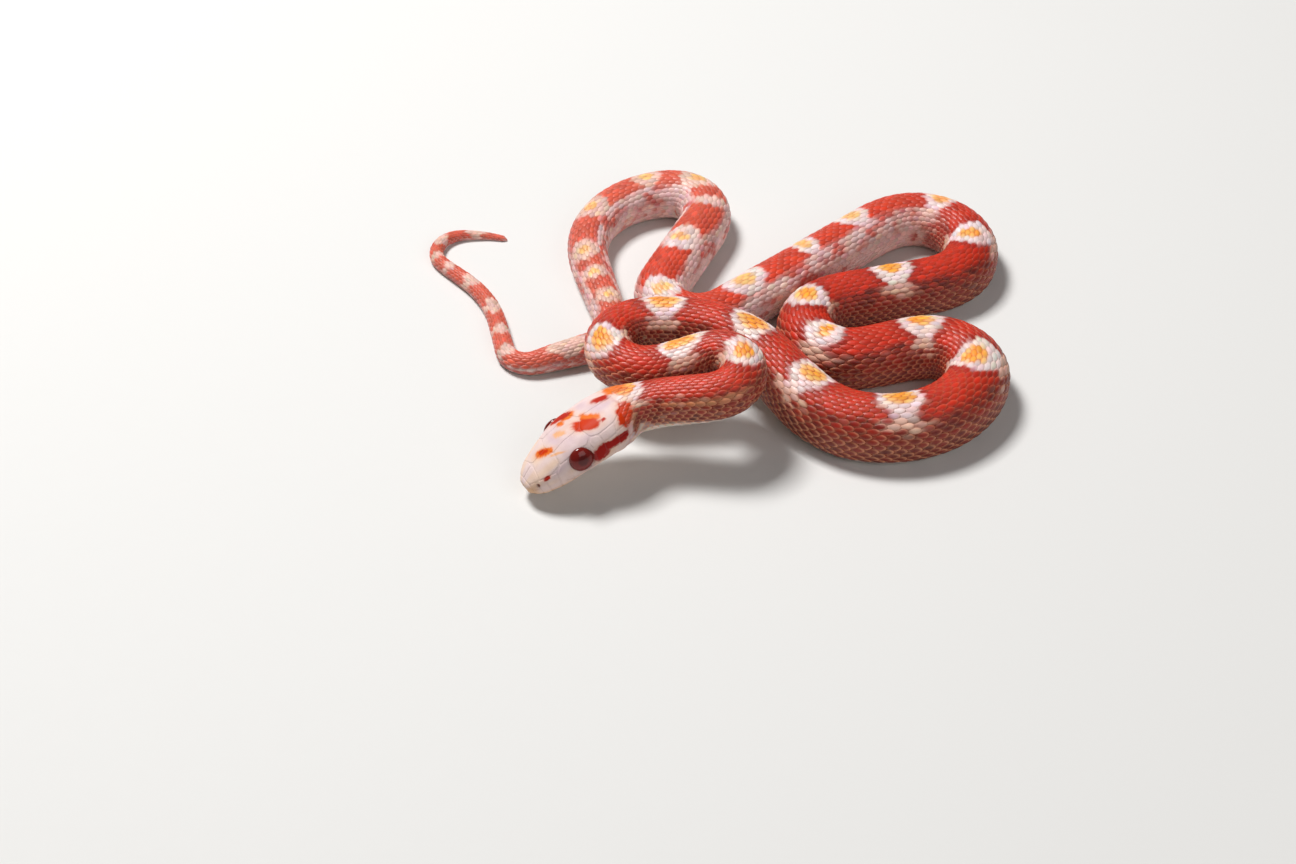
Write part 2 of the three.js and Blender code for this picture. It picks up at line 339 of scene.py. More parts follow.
@dataclass
class Flesh:
    """The body's surface round its course, in the solids' own sizes, pulled in by the coat's depth."""

    course: Course
    girth: Table = (
        (17, 2.75), (24, 2.7), (45, 2.85), (60, 3.05), (70, 3.4), (85, 3.85), (100, 3.75), (125, 3.45),
        (150, 3.3), (165, 3.2), (200, 3.1), (220, 3.0), (240, 2.5), (256, 2.0), (264, 1.65), (270, 1.25),
        (280, 1.05), (294, 0.8), (303, 0.32),
    )
    head_width: Table = (
        (0, 1.95), (2.2, 2.7), (4, 3.3), (6, 3.7), (8, 4), (10.5, 4.15), (12.5, 3.8), (15, 3.05),
        (17, 2.75),
    )
    head_crown: Table = (
        (0, 3.0), (2.2, 3.75), (4, 4.4), (6, 4.95), (9, 5.3), (12, 5.35), (15, 5.1), (17, 4.93),
    )
    head_widest: Table = ((0, 1.6), (6, 1.8), (11, 2.0), (17, 2.27))
    head_chin: Table = ((0, 0.9), (2.2, 0.5), (4, 0.35), (12, 0.3), (15, 0.15), (17, 0))
    mouth_height: Table = (
        (-1, 1.4), (0.5, 1.3), (2, 1.15), (4, 1.15), (6, 1.3), (8, 1.5), (9.8, 1.5), (11, 1.2),
        (11.9, 0.5), (12.3, -1),
    )
    head_turns_neck: Span = (13.0, 17.5)
    snout_round: float = 2.2
    crown_square: float = 0.8
    chin_square: float = 0.72
    belly_square: float = 0.8
    height_share: float = 0.97
    belly_flat: float = 0.85
    coat_depth: Table = ((0, 0.16), (262, 0.15), (280, 0.09), (303, 0.05))
    eye_at: float = 6.9
    brow_reach: float = 1.8
    brow_degrees: Pair = (52, 20)
    brow_begins: Span = (0.05, 0.3)
    brow_height: float = 0.16
    lip_tuck: float = 0.06
    tuck_begins: Span = (0, 0.25)
    mouth_ends: float = 11.6
    tail_round: float = 0.7
    short_step: float = 0.04
    short_turn: float = 0.02
    end_margin: float = 0.002
    first_place: float = 0.1
    last_margin: float = 0.01

    def snout_share(self, s: Array) -> Array:
        """How full the snout is at s: a quarter of an ellipse, from none at its tip."""
        t = np.clip(s / self.snout_round, 0, 1)
        return np.sqrt(t * (2 - t))

    def tail_share(self, s: Array) -> Array:
        """How full the tail is at s: a quarter of an ellipse, to none at its tip."""
        end = np.clip((s - self.course.body_length) / self.tail_round + 1, 0, 1)
        return np.sqrt(1 - end**2)

    def head_section(self, s: Array, phi: Array) -> tuple[Array, Array]:
        """The head's own section.

        Sine and cosine of phi are raised to a power below one, which squares the oval. The brow is a
        bell-shaped bump over each eye, and below the line of the mouth the jaw tucks in.

        Args:
            s: Places along the body.
            phi: Angles round it, in radians.

        Returns:
            The distances to the left of the course and above it.
        """
        rise, across = np.cos(phi), -np.sin(phi)
        share, widest = self.snout_share(s), along(self.head_widest, s)
        below = rise < 0
        power = np.where(below, self.chin_square, self.crown_square)
        reach = np.where(below, widest - along(self.head_chin, s), along(self.head_crown, s) - widest)
        brow_middle, brow_spread = self.brow_degrees
        degrees = np.abs(np.degrees(np.arcsin(np.clip(rise, -1, 1))))
        from_brow = (degrees - brow_middle) / brow_spread
        brow = np.exp(-(from_brow**2) - ((s - self.eye_at) / self.brow_reach) ** 2)
        brow = self.brow_height * np.where(below, 0, brow) * step_up(np.abs(across), *self.brow_begins)
        height = widest + share * reach * signed_power(rise, power)
        tucked = step_up(along(self.mouth_height, s) - height, *self.tuck_begins) * (s < self.mouth_ends)
        side = share * along(self.head_width, s) * signed_power(across, power)
        return side * (1 - self.lip_tuck * tucked) + brow * np.sign(across), height + brow / 2

    def body_section(self, s: Array, phi: Array) -> tuple[Array, Array]:
        """The section behind the head: round above, squarer below, and flat where it rests.

        The powers are those of the head's section, and the height stops at the flat of the belly.

        Args:
            s: Places along the body.
            phi: Angles round it, in radians.

        Returns:
            The distances to the left of the course and above it.
        """
        rise, across = np.cos(phi), -np.sin(phi)
        half = along(self.girth, s) * self.tail_share(s)
        power = np.where(rise < 0, self.belly_square, 1.0)
        tall = half * self.height_share
        height = tall * np.maximum(signed_power(rise, power), -self.belly_flat) + tall * self.belly_flat
        return half * signed_power(across, power), height

    def point(self, s: Array, phi: Array) -> Array:
        """Points of the solids' own surface, whose section turns from the head's to the body's.

        Args:
            s: Places along the body.
            phi: Angles round it, in radians.

        Returns:
            The points in millimetres.
        """
        share = step_up(s, *self.head_turns_neck)
        head_side, head_height = self.head_section(s, phi)
        body_side, body_height = self.body_section(s, phi)
        side = head_side * (1 - share) + body_side * share
        height = head_height * (1 - share) + body_height * share
        stance = self.course.stance(s)
        return stance.origin + stance.left * side[..., None] + stance.up * height[..., None]

    def slopes(self, s: Array, phi: Array) -> tuple[Array, Array]:
        """How the surface runs along the body and round it, by differences over short steps.

        Args:
            s: Places along the body.
            phi: Angles round it, in radians.

        Returns:
            The change of the point for a millimetre of s, and for a radian of phi.
        """
        short, turn = self.short_step, self.short_turn
        last = self.course.body_length - self.end_margin
        low = np.clip(s - short, self.end_margin, last - short)
        high = np.clip(s + short, self.end_margin + short, last)
        by_s = (self.point(high, phi) - self.point(low, phi)) / (high - low)[..., None]
        by_phi = (self.point(s, phi + turn) - self.point(s, phi - turn)) / (2 * turn)
        return by_s, by_phi

    def raised(self, s: Array, phi: Array, proud: Array | float) -> Array:
        """Points at a height over the skin, which lies under the solids' surface by the coat's depth.

        The height is measured along the outward direction, which is square to both slopes.

        Args:
            s: Places along the body.
            phi: Angles round it, in radians.
            proud: Height over the skin in millimetres.

        Returns:
            The points in millimetres.
        """
        by_s, by_phi = self.slopes(s, phi)
        normal = unit(np.cross(by_phi, by_s))
        at_tip = (s < 2 * self.end_margin)[..., None]
        normal = np.where(at_tip, -self.course.stance(s).ahead, normal)
        depth = along(self.coat_depth, s) * self.tail_share(s)
        return self.point(s, phi) + normal * (proud - depth)[..., None]

    def kept_on(self, s: Array) -> Array:
        """The places, none of them past the tip of the tail or on the very tip of the snout."""
        return np.clip(s, self.first_place, self.course.body_length - self.last_margin)

    def mouth_angle(self, s: Array) -> Array:
        """The angle phi at which the head's side meets the line of the mouth, in radians.

        The section's height formula is turned round: the share of the chin's reach that lies above the
        mouth, brought back through the power, gives the sine of the angle below the widest level.

        Args:
            s: Places along the head.

        Returns:
            The angle for the side where phi is positive.
        """
        widest = along(self.head_widest, s)
        reach = self.snout_share(s) * (widest - along(self.head_chin, s))
        part = np.clip((widest - along(self.mouth_height, s)) / np.maximum(reach, 1e-3), 0, 1)
        return np.pi / 2 + np.arcsin(part ** (1 / self.chin_square))


class Pigment(Enum):
    """The snake's colours, as red, green and blue out of 255 on a screen."""

    SADDLE = (198, 42, 16)
    SADDLE_REAR = (212, 64, 36)
    SADDLE_TAIL = (214, 92, 68)
    EDGE = (140, 20, 16)
    CORE = (252, 168, 54)
    CORE_REAR = (244, 190, 128)
    CORE_PALE = (252, 208, 130)
    CORE_LINE = (214, 70, 24)
    WHITE = (240, 226, 224)
    PINK = (236, 204, 200)
    PINK_TAIL = (228, 186, 168)
    NECK_STREAK = (208, 140, 98)
    FLANK = (224, 180, 160)
    FLANK_REAR = (232, 196, 190)
    FLANK_RED = (156, 36, 20)
    FLANK_DARK = (104, 22, 14)
    FLANK_REAR_RED = (206, 94, 80)
    RIM = (232, 158, 118)
    RIM_REAR = (234, 200, 192)
    BELLY = (236, 222, 210)
    HEAD = (236, 214, 210)
    HEAD_COOL = (222, 198, 204)
    HEAD_WARM = (242, 214, 192)
    LIP = (232, 188, 142)
    HEAD_ORANGE = (236, 120, 42)
    HEAD_TINT = (242, 184, 138)
    HEAD_RED = (186, 44, 28)
    HEAD_BLOTCH = (208, 56, 8)
    EYE_STRIPE = (168, 30, 24)
    # Painted shade in the mouth's groove, the eye sockets and the nostrils.
    RECESS_SHADE = (150, 84, 74)
    NET = (226, 140, 112)
    FLANK_NET = (150, 54, 30)

    def linear(self) -> Array:
        """The colour as light: each part over 255, with the screen's own curve taken out."""
        part = np.array(self.value, float) / 255
        return np.where(part <= 0.04045, part / 12.92, ((part + 0.055) / 1.055) ** 2.4)


def blend(first: "Array | Pigment", second: "Array | Pigment", share: Array) -> Array:
    """Two colours mixed: the first times what the share leaves of one, and the second times the share.

    Args:
        first: A pigment, or a colour for each point.
        second: The same for the other.
        share: How much of the second there is at each point.

    Returns:
        A colour for each point, as light.
    """
    first, second = (tone.linear() if isinstance(tone, Pigment) else tone for tone in (first, second))
    return first * (1 - share[..., None]) + second * share[..., None]


@dataclass(frozen=True)
class Cloud:
    """A smooth random field on the skin, with its cells to the millimetre and to the unit of angle."""

    cells_along: float
    cells_round: float
    shift: float
    seed: int

    def at(self, s: Array, angle: Array) -> Array:
        """The field between -1 and 1.

        Each whole-number corner holds a random height, and a point blends its four corners by the eased
        step.

        Args:
            s: Places along the body.
            angle: Angles round it, in the unit that the cells are counted in.

        Returns:
            The height at each point.
        """
        x, y = s * self.cells_along, angle * self.cells_round + self.shift
        heights = np.random.default_rng(self.seed).uniform(-1, 1, (CLOUD_CELLS, CLOUD_CELLS))
        i, j = np.floor(x).astype(int), np.floor(y).astype(int)
        u, w = step_up(x - i, 0, 1), step_up(y - j, 0, 1)
        i, j, i_next, j_next = (k % CLOUD_CELLS for k in (i, j, i + 1, j + 1))
        low = heights[i, j] * (1 - u) + heights[i_next, j] * u
        high = heights[i, j_next] * (1 - u) + heights[i_next, j_next] * u
        return low * (1 - w) + high * w


@dataclass(frozen=True)
class Patch:
    """A pale patch across the back: its place, half its length, half its orange middle, and its lean.

    The lean is how far the middle of the pattern lies from the middle of the back, as a share of the side.
    """

    at: float
    half: float
    core: float
    lean: float


@dataclass(frozen=True)
class HeadMark:
    """An oval mark on the head: its place, its angle, half its length and width, its turn and its colour.

    Sizes are in millimetres and angles in degrees.
    """

    at: float
    angle: float
    long: float
    wide: float
    turn: float
    pigment: Pigment
    degree: float = 0.058
    squareness: float = 2.6

    def reach(self, s: Array, angle: Array) -> Array:
        """How far points lie from the mark's middle in its own half sizes, so that its edge is one.

        The distances along the turned mark and across it, each over its half size and raised to the
        squareness, are added up, and the sum is brought back through the same power.

        Args:
            s: Places along the head.
            angle: Angles from the middle of the crown, in radians.

        Returns:
            The distance for each point.
        """
        turn = math.radians(self.turn)
        x, y = s - self.at, (np.degrees(angle) - self.angle) * self.degree
        run = x * math.cos(turn) + y * math.sin(turn)
        side = y * math.cos(turn) - x * math.sin(turn)
        total = np.abs(run / self.long) ** self.squareness + np.abs(side / self.wide) ** self.squareness
        return total ** (1 / self.squareness)


@dataclass
class Spots:
    """How points of the skin lie in the pattern of the back, one value for each.

    Share is the angle from the back as a share of the side, and across its distance from the middle of the
    pattern. Off is the distance in millimetres from the nearest patch, whose half length and half oval are
    half and core. Coarse, fine and wander are random fields. Rear and tail say how far the deep reds of the
    front have turned to the paler rear, and how far reds and whites have come together in the tail.
    """

    s: Array
    share: Array
    across: Array
    off: Array
    half: Array
    core: Array
    coarse: Array
    fine: Array
    wander: Array
    rear: Array
    tail: Array


@dataclass
class Markings:
    """The colours of the skin and of every scale on it, as one function of the place on the body.

    Places and lengths are in millimetres, and widths round the body in shares of the side. A Span says
    where an eased step begins and ends, and a share how much of a colour is mixed in.
    """

    side_angle: float = math.radians(128)
    patches: tuple[Patch, ...] = (
        Patch(14.3, 1.8, 1.2, -0.13),
        Patch(28.8, 1.9, 1.2, 0.0),
        Patch(36.2, 2.7, 1.9, 0.15),
        Patch(46.5, 2.0, 1.5, -0.2),
        Patch(56.3, 2.2, 1.6, -0.05),
        Patch(66, 2.0, 1.6, -0.1),
        Patch(75.3, 2.5, 1.7, -0.12),
        Patch(88, 2.7, 2.0, -0.15),
        Patch(101, 2.6, 1.7, -0.08),
        Patch(110.5, 2.2, 1.4, 0.15),
        Patch(121.8, 1.9, 0.8, 0.05),
        Patch(129, 1.7, 1.1, -0.1),
        Patch(139.8, 2.3, 1.3, -0.15),
        Patch(153, 1.9, 0.9, -0.03),
        Patch(160.5, 1.6, 1.0, 0.18),
        Patch(171.3, 2.0, 1.0, 0.2),
        Patch(179.3, 1.4, 0.8, 0.17),
        Patch(189, 2.8, 1.3, 0.1),
        Patch(200.5, 2.0, 0.9, -0.05),
        Patch(210.5, 2.2, 0.8, -0.08),
        Patch(218.3, 0.9, 0.0, 0.1),
        Patch(222.7, 1.7, 0.7, 0.15),
        Patch(228.5, 1.6, 0.7, 0.12),
        Patch(236.5, 2.0, 0.8, 0.17),
        Patch(244, 1.6, 0.6, 0.15),
        Patch(248, 1.0, 0.4, 0.1),
        Patch(252.2, 1.3, 0.5, -0.05),
        Patch(257.8, 1.3, 0.3, 0.0),
        Patch(263, 2.6, 0.0, 0.0),
        Patch(270.8, 1.0, 0.0, 0.0),
        Patch(274.6, 0.9, 0.0, 0.0),
        Patch(279.1, 1.5, 0.0, 0.0),
        Patch(284.7, 1.3, 0.0, 0.0),
        Patch(288.7, 0.7, 0.0, 0.0),
        Patch(291.2, 0.6, 0.0, 0.0),
        Patch(294.4, 1.2, 0.0, 0.0),
        Patch(299.2, 1.3, 0.0, 0.0),
    )
    head_marks: tuple[HeadMark, ...] = (
        HeadMark(10.0, 11, 1.0, 0.42, 34, Pigment.HEAD_ORANGE),
        HeadMark(9.2, 17, 1.4, 0.62, 28, Pigment.HEAD_BLOTCH),
        HeadMark(8.4, -17, 0.7, 0.5, 20, Pigment.HEAD_ORANGE),
        HeadMark(7.75, -28, 1.2, 0.55, 17, Pigment.HEAD_RED),
        HeadMark(7.35, -13, 0.4, 0.3, 30, Pigment.HEAD_ORANGE),
        HeadMark(6.6, 0, 0.6, 0.22, 20, Pigment.HEAD_TINT),
        HeadMark(4.15, 4, 1.05, 0.4, 30, Pigment.HEAD_ORANGE),
        HeadMark(4.1, 2, 0.55, 0.24, 30, Pigment.HEAD_BLOTCH),
        HeadMark(5.1, 26, 0.8, 0.12, 30, Pigment.HEAD_TINT),
        HeadMark(2.7, 59, 0.4, 0.4, 0, Pigment.HEAD_RED),
        HeadMark(11.8, -7, 0.78, 0.32, 14, Pigment.HEAD_RED),
        HeadMark(10.85, 27, 0.24, 0.2, 0, Pigment.HEAD_RED),
        HeadMark(13.55, -19, 1.05, 1.05, 0, Pigment.HEAD_ORANGE),
        HeadMark(13.1, 46, 1.05, 1.45, 14, Pigment.HEAD_BLOTCH),
        HeadMark(13.1, -62, 0.9, 1.2, -14, Pigment.HEAD_BLOTCH),
        HeadMark(9.0, 79, 1.1, 0.62, -14, Pigment.EYE_STRIPE),
        HeadMark(10.9, 79, 1.6, 0.44, 6, Pigment.EYE_STRIPE),
        HeadMark(9.0, -79, 1.1, 0.62, 14, Pigment.EYE_STRIPE),
        HeadMark(10.9, -79, 1.6, 0.44, -6, Pigment.EYE_STRIPE),
    )
    rear_begins: Span = (148.0, 172.0)
    tail_begins: Span = (200.0, 226.0)
    coarse: Cloud = Cloud(0.55, 7, 40, 3)
    fine: Cloud = Cloud(1.7, 17, 90, 5)
    streaks: Cloud = Cloud(0.9, 24, 30, 7)
    coarse_share: float = 0.6

    patch_narrows: Span = (0.12, 0.42)
    patch_loses: float = 0.6
    patch_soft: float = 0.25
    patch_wander: float = 0.4
    pink_share: float = 0.4
    tail_pink_share: float = 0.9
    oval_wide: float = 0.2
    oval_tail_loses: float = 0.05
    oval_wander: float = 0.2
    oval_edge: Span = (0.85, 1.15)
    oval_pales: Span = (0.45, 0.95)
    oval_pale_wander: float = 0.5
    oval_pale_share: float = 0.8
    oval_line_share: float = 0.6
    saddle_rim: Span = (1.8, 0.3)
    saddle_rim_share: float = 0.55

    flank_darkens: Span = (-0.1, 0.6)
    flank_dark_share: float = 0.8
    fray_reach: float = 0.6
    fray_fades: Span = (0.45, 0.8)
    front_red: float = 1.05
    fray_loses: float = 1.1
    streak_share: float = 0.5
    streak_more: float = 0.25
    streak_more_ends: Span = (85, 55)
    blotch_size: Pair = (2.4, 0.16)
    blotch_across: float = 0.58
    foot_ends: Span = (0.34, 0.5)
    foot_begins: Span = (1.5, 3)
    tail_reddens: Span = (252, 262)
    rear_red: float = 0.14
    tail_red: float = 0.4
    blotch_red: float = 0.4
    foot_red: float = 0.45
    rear_wander: float = 0.8
    red_covers: Span = (0.2, 0.7)
    # Painted shade: the lower side of the front body is darkened towards the belly, where shade falls.
    painted_low_shade: Span = (0.6, 0.95)
    painted_low_shade_share: float = 0.35
    neck_streak: Pair = (22.0, 0.48)
    neck_streak_size: Pair = (4.2, 0.075)
    neck_streak_edge: Span = (0.35, 0.9)
    neck_streak_wander: float = 0.4
    neck_streak_share: float = 0.8

    saddle_edge: Table = ((17, 0.41), (150, 0.41), (170, 0.35), (255, 0.35), (268, 0.62), (303, 0.75))
    saddle_edge_soft: float = 0.04
    saddle_edge_wander: float = 0.06
    belly_edge: Table = ((16, 0.7), (22, 0.86), (29, 0.95), (303, 0.97))
    belly_soft: float = 0.14
    belly_wander: float = 0.1

    head_cloud: Cloud = Cloud(0.7, 0.05, 7, 11)
    head_warms: Span = (0.1, 1.0)
    head_cools: Span = (0.0, 0.8)
    snout_stays_warm: Span = (1.6, 3)
    lip_angles: Span = (84, 108)
    lip_fades: Span = (3, 9)
    lip_fade_share: float = 0.6
    tip_angles: Span = (30, 75)
    tip_ends: Span = (0.6, 1.8)
    lip_share: float = 0.85
    throat_angles: Span = (125, 150)
    neck_edge: Span = (12.9, 13.4)
    neck_wave: float = 0.4
    mark_ends: float = 20.0
    mark_rough: Cloud = Cloud(3.1, 9, 60, 21)
    mark_rough_share: float = 0.12
    mark_jagged: Cloud = Cloud(7, 21, 30, 23)
    mark_jagged_share: float = 0.1
    halo_fades: Span = (0.9, 1.9)
    halo_share: float = 0.35

    def share_of_side(self, phi: Array) -> Array:
        """The angle from the back as a share of the side, -1 to 1, and past that on the belly."""
        return wrap(phi) / self.side_angle

    def rear_share(self, s: Array) -> Array:
        """How far the pattern has turned from the deep reds of the front to the paler rear."""
        return step_up(s, *self.rear_begins)

    def spots(self, s: Array, phi: Array) -> Spots:
        """Finds the nearest patch to each point, and reads the random fields there.

        Args:
            s: Places along the body.
            phi: Angles round it, in radians.

        Returns:
            How the points lie in the pattern.
        """
        at, half, core, lean = np.array([(p.at, p.half, p.core, p.lean) for p in self.patches]).T
        k = np.searchsorted((at[1:] + at[:-1]) / 2, s)
        share = self.share_of_side(phi)
        coarse, fine = self.coarse.at(s, share), self.fine.at(s, share)
        return Spots(
            s=s,
            share=share,
            across=np.abs(share - np.interp(s, at, lean)),
            off=np.abs(s - at[k]),
            half=half[k],
            core=core[k],
            coarse=coarse,
            fine=fine,
            wander=self.coarse_share * coarse + (1 - self.coarse_share) * fine,
            rear=self.rear_share(s),
            tail=step_up(s, *self.tail_begins),
        )

    def back(self, spots: Spots, between: bool) -> Array:
        """Red saddles, and between each two a pale patch with an orange oval in it.

        A patch narrows down the side, and its edge wanders. The oval's measure is the distance from its
        middle in its own half sizes, so that its edge is one. A saddle is darker beside a patch.

        Args:
            spots: How the points lie in the pattern.
            between: Whether the colour is that of the skin between scales, redder in the orange ovals.

        Returns:
            A colour for each point, as light.
        """
        rear, tail = spots.rear, spots.tail
        reach = spots.half * (1 - self.patch_loses * step_up(spots.across, *self.patch_narrows))
        end = spots.off + self.patch_wander * spots.wander
        pale = 1 - step_up(end, reach - self.patch_soft, reach + self.patch_soft)
        wide = self.oval_wide - self.oval_tail_loses * tail
        oval = np.hypot(spots.off / np.maximum(spots.core, 0.01), spots.across / wide)
        oval = oval + self.oval_wander * spots.wander
        orange = (1 - step_up(oval, *self.oval_edge)) * (spots.core > 0)
        saddle = blend(Pigment.SADDLE, Pigment.SADDLE_REAR, rear)
        saddle = blend(saddle, Pigment.SADDLE_TAIL, tail)
        rim = step_up(spots.off, reach + self.saddle_rim[0], reach + self.saddle_rim[1])
        saddle = blend(saddle, Pigment.EDGE, self.saddle_rim_share * rim * (1 - rear))
        pale_tone = blend(Pigment.WHITE, Pigment.PINK, self.pink_share * (1 + spots.coarse))
        pale_tone = blend(pale_tone, Pigment.PINK_TAIL, self.tail_pink_share * tail)
        middle = blend(Pigment.CORE, Pigment.CORE_REAR, self.oval_pale_share * rear)
        pales = step_up(oval + self.oval_pale_wander * spots.fine, *self.oval_pales)
        middle = blend(middle, Pigment.CORE_PALE, self.oval_pale_share * pales)
        line = self.oval_line_share * between
        middle = blend(middle, Pigment.CORE_LINE, line * (1 - self.oval_line_share * rear))
        return blend(blend(saddle, pale_tone, pale), middle, orange)

    def flank(self, spots: Spots) -> Array:
        """The side: red in front and pinkish behind, where it is mottled with red below each saddle, and
        darkened low on the side in front by painted shade.

        How much red there is comes from sums of parts. In front, full red loses what a patch frays out
        below itself, as a bell does, and gains or loses by the streaks. Behind, a little red gains by the
        tail, by a bell-shaped blotch beside each patch, by the foot of each saddle and by the wander.

        Args:
            spots: How the points lie in the pattern.

        Returns:
            A colour for each point, as light.
        """
        rear, across, off = spots.rear, spots.across, spots.off
        ground = blend(Pigment.FLANK, Pigment.FLANK_REAR, rear)
        dark = self.flank_dark_share * step_up(spots.fine, *self.flank_darkens)
        red = blend(blend(Pigment.FLANK_RED, Pigment.FLANK_DARK, dark), Pigment.FLANK_REAR_RED, rear)
        frayed = np.exp(-((off / (self.fray_reach * (spots.half + 1))) ** 2))
        frayed = frayed * (1 - step_up(across, *self.fray_fades))
        streak_share = self.streak_share + self.streak_more * step_up(spots.s, *self.streak_more_ends)
        front_cover = self.front_red - self.fray_loses * frayed
        front_cover = front_cover + streak_share * self.streaks.at(spots.s, spots.share)
        blotch_long, blotch_wide = self.blotch_size
        blotch = np.exp(-((off / blotch_long) ** 2) - ((across - self.blotch_across) / blotch_wide) ** 2)
        foot = (1 - step_up(across, *self.foot_ends)) * step_up(off, *self.foot_begins)
        rear_cover = self.rear_red + self.tail_red * step_up(spots.s, *self.tail_reddens)
        rear_cover = rear_cover + self.blotch_red * blotch + self.foot_red * foot
        rear_cover = rear_cover + self.rear_wander * spots.wander
        cover = front_cover * (1 - rear) + rear_cover * rear
        flank = blend(ground, red, step_up(cover, *self.red_covers))
        # Painted shade: darker low on the side in front, where shade falls under the body.
        shade = self.painted_low_shade_share * step_up(across, *self.painted_low_shade) * (1 - rear)
        flank = flank * (1 - shade)[..., None]
        place, side = self.neck_streak
        long, wide = self.neck_streak_size
        streak = np.exp(-(((spots.s - place) / long) ** 4) - ((np.abs(spots.share) - side) / wide) ** 2)
        streak = step_up(streak + self.neck_streak_wander * spots.wander, *self.neck_streak_edge)
        return blend(flank, Pigment.NECK_STREAK, self.neck_streak_share * streak)

    def body(self, s: Array, phi: Array, between: bool) -> Array:
        """Colours behind the head: the back, below it the flank, and the plain belly.

        Args:
            s: Places along the body.
            phi: Angles round it, in radians.
            between: Whether the colour is that of the skin between scales.

        Returns:
            A colour for each point, as light.
        """
        spots = self.spots(s, phi)
        edge = along(self.saddle_edge, s)
        low = spots.across + self.saddle_edge_wander * spots.wander
        low = step_up(low, edge - self.saddle_edge_soft, edge + self.saddle_edge_soft)
        body = blend(self.back(spots, between), self.flank(spots), low)
        start = along(self.belly_edge, s)
        lowest = np.abs(spots.share) + self.belly_wander * spots.wander
        return blend(body, Pigment.BELLY, step_up(lowest, start, start + self.belly_soft))

    def head(self, s: Array, angle: Array) -> Array:
        """The head's pale ground: pinkish white, warm and cool in clouds, tan on the lips, cream below.

        Args:
            s: Places along the head.
            angle: Angles from the middle of the crown, in radians.

        Returns:
            A colour for each point, as light.
        """
        degrees = np.abs(np.degrees(angle))
        cloud = self.head_cloud.at(s, degrees)
        ground = blend(Pigment.HEAD, Pigment.HEAD_WARM, step_up(cloud, *self.head_warms))
        cool = step_up(-cloud, *self.head_cools) * step_up(s, *self.snout_stays_warm)
        ground = blend(ground, Pigment.HEAD_COOL, cool)
        lip = step_up(degrees, *self.lip_angles) * (1 - step_up(s, *self.lip_fades) * self.lip_fade_share)
        tip = step_up(degrees, *self.tip_angles) * (1 - step_up(s, *self.tip_ends))
        ground = blend(ground, Pigment.LIP, self.lip_share * np.maximum(lip, tip))
        return blend(ground, Pigment.BELLY, step_up(degrees, *self.throat_angles))

    def colour(self, s: Array, phi: Array, between: bool = False) -> Array:
        """The colour at any place: the head's ground or the body's pattern, and the head's marks on top.

        The edges of the marks are made uneven by two random fields, and a tan halo surrounds them.

        Args:
            s: Places along the body.
            phi: Angles round it, in radians.
            between: Whether the colour is that of the skin between scales.

        Returns:
            A colour for each point, as light.
        """
        s, phi = np.broadcast_arrays(s, phi)
        angle = wrap(phi)
        neck = step_up(s + self.neck_wave * np.cos(3 * angle), *self.neck_edge)
        tone = blend(self.head(s, angle), self.body(s, phi, between), neck)
        rough = self.mark_rough_share * self.mark_rough.at(s, angle)
        rough = rough + self.mark_jagged_share * self.mark_jagged.at(s, angle)
        on_head = s < self.mark_ends
        ovals = [mark.reach(s, angle) + rough for mark in self.head_marks]
        halo = 1 - step_up(np.min(ovals, axis=0), *self.halo_fades)
        tone = blend(tone, Pigment.HEAD_TINT, self.halo_share * halo * on_head)
        for mark, oval in zip(self.head_marks, ovals):
            tone = blend(tone, mark.pigment, (1 - step_up(oval, *self.oval_edge)) * on_head)
        return tone


@dataclass
class Shape:
    """The points and faces of a piece as they are worked out, before a mesh holds them."""

    points: Array
    faces: list[Array]
    colours: Array
    plan: Array | None = None

    def piece(self, name: str, material: bpy.types.Material, slot: str) -> bpy.types.Object:
        """Makes the piece, in metres, with its colours as an attribute, and lets it ride on the model.

        Args:
            name: The piece's name.
            material: Its finish.
            slot: Not used.

        Returns:
            The new object.
        """
        mesh = bpy.data.meshes.new(name)
        sizes = np.concatenate([np.full(len(f), f.shape[1]) for f in self.faces])
        corners = np.concatenate([f.ravel() for f in self.faces]).astype(np.int32)
        mesh.vertices.add(len(self.points))
        mesh.vertices.foreach_set("co", (self.points * MM).astype(np.float32).ravel())
        mesh.loops.add(len(corners))
        mesh.loops.foreach_set("vertex_index", corners)
        mesh.polygons.add(len(sizes))
        mesh.polygons.foreach_set("loop_start", np.append(0, np.cumsum(sizes)[:-1]).astype(np.int32))
        mesh.polygons.foreach_set("use_smooth", np.ones(len(sizes), bool))
        mesh.update(calc_edges=True)
        tint = mesh.color_attributes.new("tone", "FLOAT_COLOR", "POINT")
        rgba = np.concatenate([self.colours, np.ones((len(self.colours), 1))], 1)
        tint.data.foreach_set("color", rgba.astype(np.float32).ravel())
        if self.plan is not None:
            layer = mesh.uv_layers.new(name="OFBake")
            layer.data.foreach_set("uv", self.plan[corners].astype(np.float32).ravel())
        mesh.materials.append(material)
        mesh.validate()
        made = placed(name, mesh)
        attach(made, "root")
        log.info("%s: %d points, %d faces", name, len(self.points), len(sizes))
        return made


class Wire:
    """An output of a shader node that can be added to, taken from and multiplied as a number can."""

    def __init__(self, graph: "Graph", socket: bpy.types.NodeSocket) -> None:
        """Holds the graph and the output."""
        self.graph = graph
        self.socket = socket

    def _maths(self, operation: str, first: "Wire | float", second: "Wire | float") -> "Wire":
        """A Math node of two values."""
        return self.graph.node("ShaderNodeMath", {"operation": operation}, {0: first, 1: second})

    def __add__(self, other: "Wire | float") -> "Wire":
        """This and the other."""
        return self._maths("ADD", self, other)

    def __radd__(self, other: float) -> "Wire":
        """The other and this."""
        return self._maths("ADD", other, self)

    def __sub__(self, other: "Wire | float") -> "Wire":
        """This less the other."""
        return self._maths("SUBTRACT", self, other)

    def __mul__(self, other: "Wire | float") -> "Wire":
        """This times the other."""
        return self._maths("MULTIPLY", self, other)


